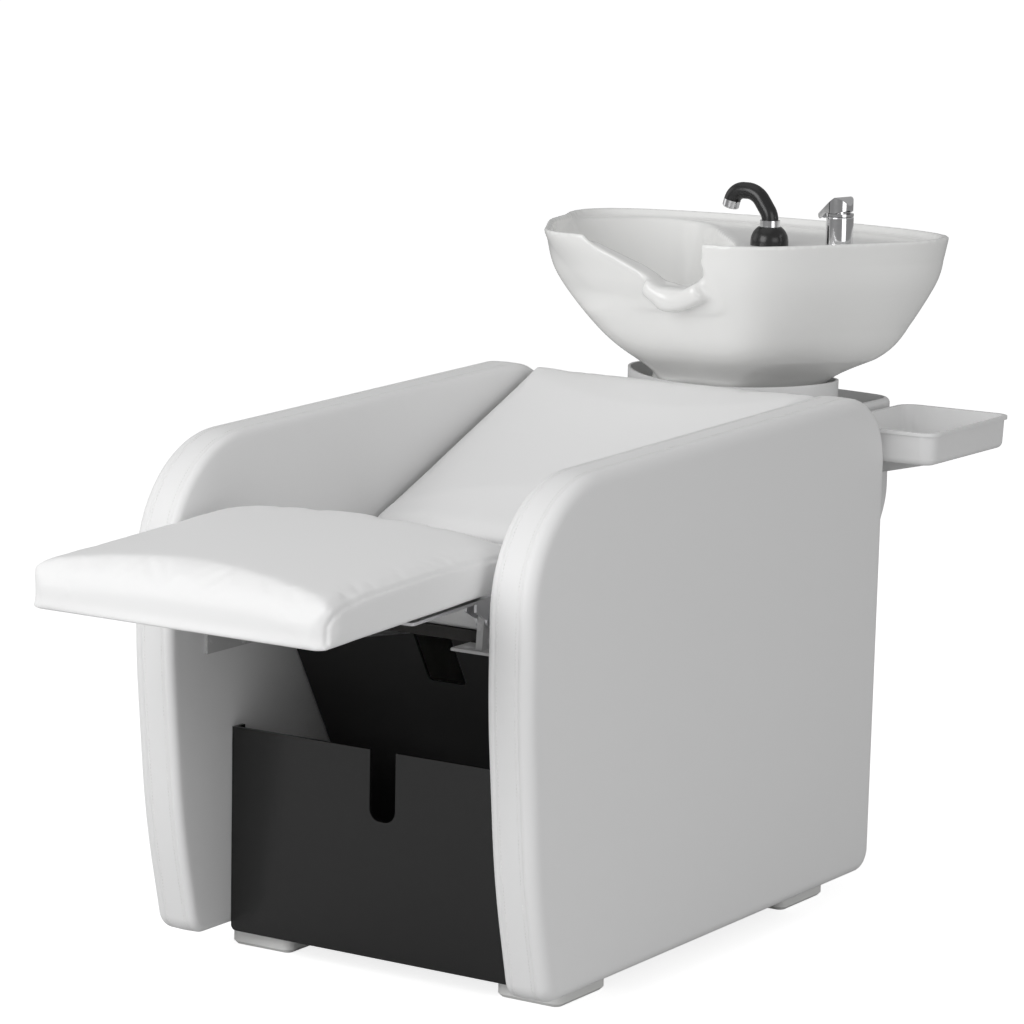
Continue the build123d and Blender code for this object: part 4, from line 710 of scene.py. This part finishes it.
@dataclass
class SidePanel:
    """A padded side panel: two faces and a gusset round its edge, seamed at both corners."""

    side: str
    sign: int
    inner: float = 252.0
    thickness: float = 68.0
    outer_round: float = 17.0
    inner_round: float = 11.0
    seam_width: float = 1.5
    seam_depth: float = 1.3
    seam_shoulder: float = 0.3
    seam_gap: float = 2.0
    gusset_crown: float = 0.6
    gusset_start: float = 2.5
    face_crown: float = 0.8
    face_inset: float = 27.0
    outer_inset: float = 22.0
    inner_inset: float = 18.0
    face_shares: tuple = (0.93, 0.82, 0.66, 0.45, 0.22)
    stitch_gap: float = 6.0
    stitch_lift: float = 0.1
    stitch_line_step: float = 2.0
    corners: tuple = (
        (60.0, 36.0), (22.0, 200.0), (0.0, 430.0), (0.0, 722.0), (958.0, 748.0), (947.0, 36.0)
    )
    radii: tuple = (30.0, 1100.0, 1100.0, 172.0, 104.0, 34.0)

    def seam_rows(self, height: float) -> list:
        """A seam's groove between its two shoulders, at a height from the inner face."""
        return [
            (self.seam_shoulder, height + self.seam_width),
            (self.seam_depth, height),
            (self.seam_shoulder, height - self.seam_width),
        ]

    def section(self) -> list:
        """The panel's edge from the outer face to the inner one.

        Returns:
            Pairs of inset from the outline and height from the inner face, in millimetres.
        """
        top = self.thickness
        rows = [(self.face_inset, top), (self.outer_inset, top)]
        for step in range(9):
            angle = math.pi / 2 * step / 8
            rows.append((
                self.outer_round * (1 - math.sin(angle)),
                top - self.outer_round * (1 - math.cos(angle)),
            ))
        outer_seam = top - self.outer_round - self.seam_gap
        inner_seam = self.inner_round + self.seam_gap
        rows += self.seam_rows(outer_seam)
        start = outer_seam - self.gusset_start * self.seam_width
        end = inner_seam + self.gusset_start * self.seam_width
        for step in range(9):
            share = step / 8
            bow = self.gusset_crown * math.sin(math.pi * share)
            rows.append((-bow, start + (end - start) * share))
        rows += self.seam_rows(inner_seam)
        for step in range(7):
            angle = math.pi / 2 * step / 6
            rows.append((
                self.inner_round * (1 - math.cos(angle)),
                self.inner_round * (1 - math.sin(angle)),
            ))
        rows += [(self.inner_inset, 0.0), (self.face_inset, 0.0)]
        return rows

    def ring(self, outline: np.ndarray, normals: np.ndarray, inset: float, height: float) -> np.ndarray:
        """The outline at an inset and a height from the inner face, in the row frame."""
        flat = outline - normals * inset
        x = np.full(len(flat), self.sign * (self.inner + height))
        return as_rows(np.column_stack([x, flat]))

    def build(self) -> bpy.types.Object:
        """Lofts the panel.

        Returns:
            The panel, which replaces its CAD solid.
        """
        outline = rounded_outline(list(self.corners), list(self.radii))
        normals = outward(outline)
        rings = [self.ring(outline, normals, inset, height) for inset, height in self.section()]
        middle = outline.mean(axis=0)
        inset = outline - normals * self.face_inset
        for share in self.face_shares:
            flat = middle + (inset - middle) * share
            rise = self.face_crown * (1 - share**2)
            x = np.full(len(flat), self.sign * (self.inner + self.thickness + rise))
            rings.insert(0, as_rows(np.column_stack([x, flat])))
        faces = loft_faces(len(rings), len(outline))
        piece = mesh_piece(f"panel_{self.side}", np.vstack(rings), faces, Look.PANELS)
        face_outwards(piece)
        self.dress(piece)
        self.sew(outline, normals)
        return piece

    def dress(self, piece: bpy.types.Object) -> None:
        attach(piece, "root")
        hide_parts(f"side_panel_{self.side}")
        log.info("panel_%s: %d faces", self.side, len(piece.data.polygons))

    def sew(self, outline: np.ndarray, normals: np.ndarray) -> None:
        """Sews a row of stitches beside each seam."""
        lines = []
        outer_row = self.thickness - self.outer_round - self.stitch_gap
        for height in (outer_row, self.inner_round + self.stitch_gap):
            ring = self.ring(outline, normals, -self.stitch_lift, height)
            lines.append((along(ring, self.stitch_line_step * MM, closed=True), True))
        StitchRow(f"panel_stitches_{self.side}", "root").build(lines)


@dataclass
class Cushion:
    """A foam pad in its cover, swollen by a cloth simulation and then seamed."""

    node: str
    name: str
    body: str
    base: Vector
    up: Vector
    voxel: float = 5.0
    shrink: float = 1.2
    pressure: float = 4.0
    softening: int = 4
    cap: float = 5.0
    held: float = 14.0
    seams: list = field(default_factory=list)
    seam_step: float = 1.5
    seam_reach: float = 20.0
    groove_depth: float = 1.5
    groove_width: float = 2.2
    lip_height: float = 0.45
    lip_place: float = 6.0
    lip_width: float = 3.0
    batch: int = 4000
    fill: float = 0.8
    steps: int = 20

    def build(self) -> bpy.types.Object:
        """Makes the pad from its CAD solid's form.

        Returns:
            The pad, which replaces its CAD solid.
        """
        piece = merged_copy(self.node, self.name, Look.UPHOLSTERY)
        rebuild_in_cells(piece, self.voxel, self.softening)
        self.swell(piece)
        finer = piece.modifiers.new("finer", "SUBSURF")
        finer.levels = finer.render_levels = 1
        bake_modifiers(piece)
        self.press(piece)
        piece.data.polygons.foreach_set("use_smooth", [True] * len(piece.data.polygons))
        dress(piece, Look.UPHOLSTERY)
        self.declare(piece)
        return piece

    def height(self, points: np.ndarray) -> np.ndarray:
        """Each point's height over the board, in millimetres."""
        return (points - np.array(self.base)) @ np.array(self.up) / MM

    def swell(self, piece: bpy.types.Object) -> None:
        """Swells the cover with air pressure, held flat at the board and capped."""
        start = corners_of(piece)
        set_corners(piece, start - normals_of(piece) * self.shrink * MM)
        cloth = piece.modifiers.new("cloth", "CLOTH")
        settings = cloth.settings
        settings.quality = 5
        settings.mass = 0.3
        settings.tension_stiffness = 18.0
        settings.compression_stiffness = 12.0
        settings.bending_stiffness = 0.8
        settings.use_pressure = True
        settings.uniform_pressure_force = self.pressure
        settings.effector_weights.gravity = 0.0
        cloth.collision_settings.use_self_collision = False
        scene = bpy.context.scene
        for step in range(1, self.steps + 1):
            scene.frame_set(step)
        bake_modifiers(piece)
        scene.frame_set(1)
        moved = corners_of(piece) - start
        reach = np.linalg.norm(moved, axis=1)
        moved *= np.minimum(1.0, self.cap * MM / np.maximum(reach, 1e-9))[:, None]
        free = eased(self.height(start) / self.held)
        set_corners(piece, start + moved * free[:, None])

    def press(self, piece: bpy.types.Object) -> None:
        """Presses each seam into the cover as a groove with a slight lip on both sides."""
        if not self.seams:
            return
        points, normals = corners_of(piece), normals_of(piece)
        skin = BVHTree.FromPolygons(points.tolist(), [tuple(p.vertices) for p in piece.data.polygons])
        depth = np.zeros(len(points))
        reach = self.seam_reach * MM
        for seam in self.seams:
            steps = along(seam, self.seam_step * MM)
            line = np.array([skin.find_nearest(Vector(p))[0] for p in steps])
            low, high = line.min(0) - reach, line.max(0) + reach
            near = np.where(((points > low) & (points < high)).all(1))[0]
            for chunk in np.array_split(near, max(1, len(near) // self.batch)):
                gaps = np.sqrt(((points[chunk, None, :] - line[None, ::2, :]) ** 2).sum(2)).min(1) / MM
                groove = self.groove_depth * np.exp(-((gaps / self.groove_width) ** 2))
                groove -= self.lip_height * np.exp(-(((gaps - self.lip_place) / self.lip_width) ** 2))
                depth[chunk] = np.maximum(depth[chunk], groove) if depth[chunk].any() else groove
        set_corners(piece, points - normals * (depth * MM)[:, None])

    def declare(self, piece: bpy.types.Object) -> None:
        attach(piece, self.body)
        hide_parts(self.node)
        log.info("%s: %d faces", self.name, len(piece.data.polygons))


@dataclass
class Upholstery:
    """The seat, back and leg rest pads."""

    back_foot: tuple[float, float] = (446.0, 560.4)
    back_head: tuple[float, float] = (893.0, 745.0)
    back_foam: float = 62.0
    seat_board_top: float = 504.0
    leg_bottom_front: tuple[float, float] = (-332.0, 557.0)
    leg_bottom_rear: tuple[float, float] = (94.0, 574.0)
    leg_seam_x: float = 236.0
    leg_seam: tuple = (
        (-325.0, 570.0), (-324.0, 588.0), (-312.0, 601.0), (-286.0, 612.0),
        (-233.0, 621.0), (-178.0, 624.0), (-90.0, 627.0), (14.0, 625.0), (90.0, 620.0),
    )

    def leg_pad(self) -> Cushion:
        """The leg rest's pad, with a seam along each side's upper edge."""
        front, rear = self.leg_bottom_front, self.leg_bottom_rear
        slope = Vector((0, rear[0] - front[0], rear[1] - front[1])).normalized()
        seams = []
        for sign in (-1, 1):
            points = [(sign * self.leg_seam_x, y, z) for y, z in self.leg_seam]
            seams.append(as_rows(np.array(points)))
        up = Vector((0, -slope.z, slope.y))
        return Cushion("leg_cushion", "leg_pad", "leg_rest", at(0, *front), up, seams=seams)

    def seat_pad(self) -> Cushion:
        """The seat's pad."""
        base, up = at(0, 0, self.seat_board_top), Vector((0, 0, 1))
        return Cushion("seat_cushion", "seat_pad", "root", base, up, cap=6.0)

    def back_pad(self) -> Cushion:
        """The back's pad."""
        foot, head = self.back_foot, self.back_head
        slope = Vector((0, head[0] - foot[0], head[1] - foot[1])).normalized()
        up = Vector((0, -slope.z, slope.y))
        base = at(0, *foot) - up * self.back_foam * MM
        return Cushion("back_cushion", "back_pad", "root", base, up)

    def build(self) -> None:
        """Builds the three pads."""
        for pad in (self.leg_pad(), self.seat_pad(), self.back_pad()):
            pad.build()


@dataclass
class Basin:
    """The glazed bowl: the CAD form with soft arrises, and the photograph's fuller belly, bulged
    flank and swept neck rest, which the CAD solid doesn't have."""

    voxel: float = 3.8
    softening: int = 12
    roll_softening: int = 16
    roll_edge: float = 2.5
    roll_least: float = 0.02
    roll_box: tuple = ((-80.0, 775.0, 835.0), (125.0, 850.0, 930.0))
    roll_shift: tuple[float, float, float] = (9.0, 0.0, -5.0)
    low: float = 695.0
    rim: float = 955.0
    half_width: float = 319.0
    middle_y: float = 1024.0
    half_depth: float = 216.0
    flank_way: tuple[float, float] = (-0.842, -0.539)
    flank_facing: tuple[float, float] = (-0.8, -0.6)
    flank_side: tuple[float, float] = (0.70, 0.28)
    flank_out: tuple[float, float] = (0.25, 0.5)
    flank_up: tuple[float, float] = (0.2, 0.6)
    flank_bulge: float = 21.0
    neck_x: float = -80.0
    neck_reach: float = 150.0
    neck_top_shift: float = -24.0
    neck_low_shift: float = 52.0
    neck_low: float = 896.0
    neck_back_y: float = 900.0
    neck_back_run: float = 50.0
    neck_up: tuple[float, float] = (830.0, 40.0)
    half_levels: tuple = (0.0, 0.154, 0.288, 0.481, 0.673, 0.865, 1.0)
    halves: tuple = (110.0, 136.0, 191.0, 249.0, 287.0, 311.0, 319.0)
    swell_levels: tuple = (0.0, 0.04, 0.154, 0.288, 0.481, 0.673, 0.865)
    swells: tuple = (0.0, 16.0, 22.0, 34.0, 20.0, 9.0, 0.0)
    swell_limit: float = 1.1

    def build(self) -> bpy.types.Object:
        """Makes the bowl from its CAD solid.

        Returns:
            The bowl, which replaces the CAD node.
        """
        piece = merged_copy("basin", "basin_ware", Look.CERAMIC)
        rebuild_in_cells(piece, self.voxel, self.softening)
        points = design_corners_of(piece)
        for change in (self.sweep_neck, self.bulge_flank, self.fill_belly):
            points = change(points)
        set_corners(piece, as_rows(points))
        self.ease_roll(piece)
        piece.data.polygons.foreach_set("use_smooth", [True] * len(piece.data.polygons))
        dress(piece, Look.CERAMIC)
        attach(piece, "basin_unit")
        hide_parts("basin")
        log.info("basin_ware: %d faces", len(piece.data.polygons))
        return piece

    def ease_roll(self, piece: bpy.types.Object) -> None:
        """Moves the neck roll to its place and melts its ends into the wall."""
        points = design_corners_of(piece)
        low, high = (np.array(end) for end in self.roll_box)
        middle, half = (low + high) / 2, (high - low) / 2
        inside = eased(self.roll_edge * (1 - np.abs(points - middle) / half)).prod(axis=1)
        set_corners(piece, as_rows(points + inside[:, None] * np.array(self.roll_shift)))
        group = piece.vertex_groups.new(name="roll")
        for index in np.where(inside > self.roll_least)[0]:
            group.add([int(index)], float(inside[index]), "REPLACE")
        melt = piece.modifiers.new("melt", "SMOOTH")
        melt.factor = 0.5
        melt.iterations = self.roll_softening
        melt.vertex_group = "roll"
        bake_modifiers(piece)
        piece.vertex_groups.clear()

    def level(self, points: np.ndarray) -> np.ndarray:
        """Each point's share of the height from the foot to the rim."""
        return (points[:, 2] - self.low) / (self.rim - self.low)

    @staticmethod
    def grown(values: np.ndarray, way: tuple[float, float]) -> np.ndarray:
        """Values as a share from nought to one, from a start and over a run."""
        start, run = way
        return eased((values - start) / run)

    def sweep_neck(self, points: np.ndarray) -> np.ndarray:
        """Leans the neck rest's left side, so that it sweeps down to the roll."""
        x, y, z = points.T
        near = eased(1 - np.abs(x - self.neck_x) / self.neck_reach)
        near *= eased((self.neck_back_y - y) / self.neck_back_run)
        share = eased((self.rim - z) / (self.rim - self.neck_low))
        shift = self.neck_top_shift + (self.neck_low_shift - self.neck_top_shift) * share
        above = self.grown(z, self.neck_up)
        moved = points.copy()
        moved[:, 0] += shift * near * above
        return moved

    def bulge_flank(self, points: np.ndarray) -> np.ndarray:
        """Pushes the front left flank outwards, most at the rim."""
        plan = (points[:, :2] - (0, self.middle_y)) / (self.half_width, self.half_depth)
        reach = np.linalg.norm(plan, axis=1)
        facing = plan @ np.array(self.flank_facing) / np.maximum(reach, 1e-6)
        push = self.grown(facing, self.flank_side) * self.grown(reach, self.flank_out)
        push *= self.grown(self.level(points), self.flank_up) * self.flank_bulge
        moved = points.copy()
        moved[:, :2] += push[:, None] * np.array(self.flank_way)
        return moved

    def fill_belly(self, points: np.ndarray) -> np.ndarray:
        """Widens the lower right of the belly."""
        level = self.level(points)
        half = np.interp(level, self.half_levels, self.halves)
        swell = np.interp(level, self.swell_levels, self.swells)
        moved = points.copy()
        moved[:, 0] += swell * np.clip(points[:, 0] / half, 0, self.swell_limit) ** 2
        return moved


@dataclass
class Hardware:
    """The CAD nodes that stay, each with its finish."""

    looks: dict = field(default_factory=lambda: {
        Look.FOOT: ("foot_front_left", "foot_front_right", "foot_rear_left", "foot_rear_right"),
        Look.BOLTS: (
            "foot_bolts", "panel_bolts", "pivot_pins", "clevis_bolt", "rod_pin", "tilt_bolt",
            "saddle_bolts", "basin_nuts",
        ),
        Look.FRAME: (
            "base_tube_left", "base_tube_right", "base_cross_front", "base_cross_rear",
            "seat_cross_bar", "back_bracket_left", "back_bracket_right", "column", "column_arm",
            "basin_saddle",
        ),
        Look.PALE_FRAME: ("seat_bracket_left", "seat_bracket_right"),
        Look.COVER: ("front_cover",),
        Look.SHIELD: ("mechanism_shield", "rear_cover"),
        Look.BOARD: ("back_board",),
        # The seat and leg boards take the near-black board, which is painted shade under the seat and the
        # leg rest.
        Look.PAINTED_SHADE_BOARD: ("seat_board", "leg_board"),
        Look.ZINC: ("leg_fork_left", "leg_fork_right", "rod_clevis", "actuator_rod"),
        Look.DRIVE: ("actuator_tube", "gearbox", "motor", "power_unit"),
        Look.LINING: ("friction_discs",),
        Look.CASING: ("rear_casing", "basin_collar", "tray_bracket"),
        Look.RUBBER: ("basin_pad", "tap_gasket"),
        Look.CHROME: (
            "waste_body", "waste_grate", "tap_body", "tap_cap", "tap_lever", "handset_collar", "spray_head",
        ),
        Look.HANDLE: ("handset_holder", "handset_handle"),
        Look.TRAY: ("side_tray",),
    })

    def build(self) -> None:
        """Gives each carried-over node its finish."""
        for look, names in self.looks.items():
            for name in names:
                dress(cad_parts[name], look)
            log.info("%s: %s", look.value.name, ", ".join(names))


@dataclass
class Studio:
    """The floor, the soft lights, the world and the camera."""

    eye: tuple[float, float, float] = (3090.3, -4375.0, 1593.7)
    azimuth: float = 32.644
    elevation: float = 9.82
    roll: float = 1.105
    focal: float = 4170.4
    frame_size: int = 1024
    sensor: float = 36.0
    view_end: float = 300.0
    surround: float = 0.38
    floor_half: float = 90.0
    floor_glow: float = 0.80
    lamps: tuple = (
        ("front_light", (-0.9, -3.9, 2.3), (0.0, 0.0, 0.5), 2.8, 94.0),
        ("right_light", (4.5, -1.6, 1.7), (0.0, 0.0, 0.6), 3.0, 46.0),
        ("top_light", (-0.6, -0.2, 4.4), (0.0, 0.0, 0.5), 3.4, 12.0),
        ("left_light", (-4.4, -0.8, 2.2), (0.0, 0.0, 0.6), 2.6, 14.0),
    )

    def camera(self) -> None:
        """Places the camera where the photograph was taken from."""
        a, e, r = (math.radians(v) for v in (self.azimuth, self.elevation, self.roll))
        ahead = Vector((-math.sin(a) * math.cos(e), math.cos(a) * math.cos(e), -math.sin(e)))
        right = Vector((math.cos(a), math.sin(a), 0))
        up = right.cross(ahead)
        across = right * math.cos(r) + up * math.sin(r)
        above = up * math.cos(r) - right * math.sin(r)
        data = bpy.data.cameras.new("photo_camera")
        data.sensor_width = self.sensor
        data.lens = self.focal / self.frame_size * self.sensor
        data.clip_end = self.view_end
        view = bpy.data.objects.new("photo_camera", data)
        turned = Matrix((across, above, -ahead)).transposed().to_4x4()
        view.matrix_world = Matrix.Translation(at(*self.eye)) @ turned
        bpy.context.scene.collection.objects.link(view)
        bpy.context.scene.camera = view

    def lamp(self, name: str, place: tuple, aim: tuple, size: float, power: float) -> None:
        """Hangs a square soft light.

        Args:
            name: its name.
            place: where it hangs, in metres.
            aim: the point it faces.
            size: its side in metres.
            power: its power in watts.
        """
        data = bpy.data.lights.new(name, "AREA")
        data.shape = "SQUARE"
        data.size = size
        data.energy = power
        lamp = bpy.data.objects.new(name, data)
        lamp.location = place
        lamp.rotation_euler = (Vector(aim) - Vector(place)).to_track_quat("-Z", "Y").to_euler()
        bpy.context.scene.collection.objects.link(lamp)

    def seen(self, tree: bpy.types.NodeTree) -> bpy.types.NodeSocket:
        """One for rays from the camera or through glass, and nought for the rest."""
        path = add_node(tree, "ShaderNodeLightPath").outputs
        rays = {0: path["Is Camera Ray"], 1: path["Is Transmission Ray"]}
        return add_node(tree, "ShaderNodeMath", rays, operation="MAXIMUM").outputs[0]

    def world(self) -> None:
        """A soft pale surround that the camera sees as plain white."""
        world = bpy.data.worlds.new("studio")
        world.use_nodes = True
        bpy.context.scene.world = world
        tree = world.node_tree
        glow = tree.nodes["Background"]
        glow.inputs[0].default_value = (1.0, 1.0, 1.0, 1.0)
        glow.inputs[1].default_value = self.surround
        white = add_node(tree, "ShaderNodeBackground", {0: (1.0, 1.0, 1.0, 1.0)})
        shaders = {0: self.seen(tree), 1: glow.outputs[0], 2: white.outputs[0]}
        blend = add_node(tree, "ShaderNodeMixShader", shaders)
        tree.links.new(blend.outputs[0], tree.nodes["World Output"].inputs["Surface"])

    def floor(self) -> None:
        """A pale floor that keeps the object's shadow and reads as white."""
        half = self.floor_half
        mesh = bpy.data.meshes.new("floor")
        corners = [(-half, -half, 0), (half, -half, 0), (half, half, 0), (-half, half, 0)]
        mesh.from_pydata(corners, [], [(0, 1, 2, 3)])
        floor = bpy.data.objects.new("floor", mesh)
        bpy.context.scene.collection.objects.link(floor)
        paint = Tree("studio_floor")
        paint.set(Base_Color=(0.62, 0.62, 0.62, 1.0), Roughness=0.9, Specular_IOR_Level=0.1)
        lit = {0: self.seen(paint.material.node_tree), 1: self.floor_glow}
        level = paint.add("ShaderNodeMath", lit, operation="MULTIPLY")
        glow = paint.add("ShaderNodeEmission", {0: (1.0, 1.0, 1.0, 1.0), 1: level.outputs[0]})
        both = paint.add("ShaderNodeAddShader", {0: paint.shader.outputs[0], 1: glow.outputs[0]})
        paint.links.new(both.outputs[0], paint.nodes["Material Output"].inputs["Surface"])
        mesh.materials.append(paint.material)

    def build(self) -> None:
        """Sets up the studio."""
        bpy.context.scene.view_settings.view_transform = "Standard"
        self.camera()
        self.world()
        self.floor()
        for settings in self.lamps:
            self.lamp(*settings)
        log.info("studio set")


def main() -> None:
    """Builds every sub-assembly in order."""
    logging.basicConfig(level=logging.INFO, format="%(message)s")
    Studio().build()
    Hardware().build()
    for side, sign in (("left", -1), ("right", 1)):
        SidePanel(side, sign).build()
    Upholstery().build()
    Basin().build()


if __name__ == "__main__":
    main()
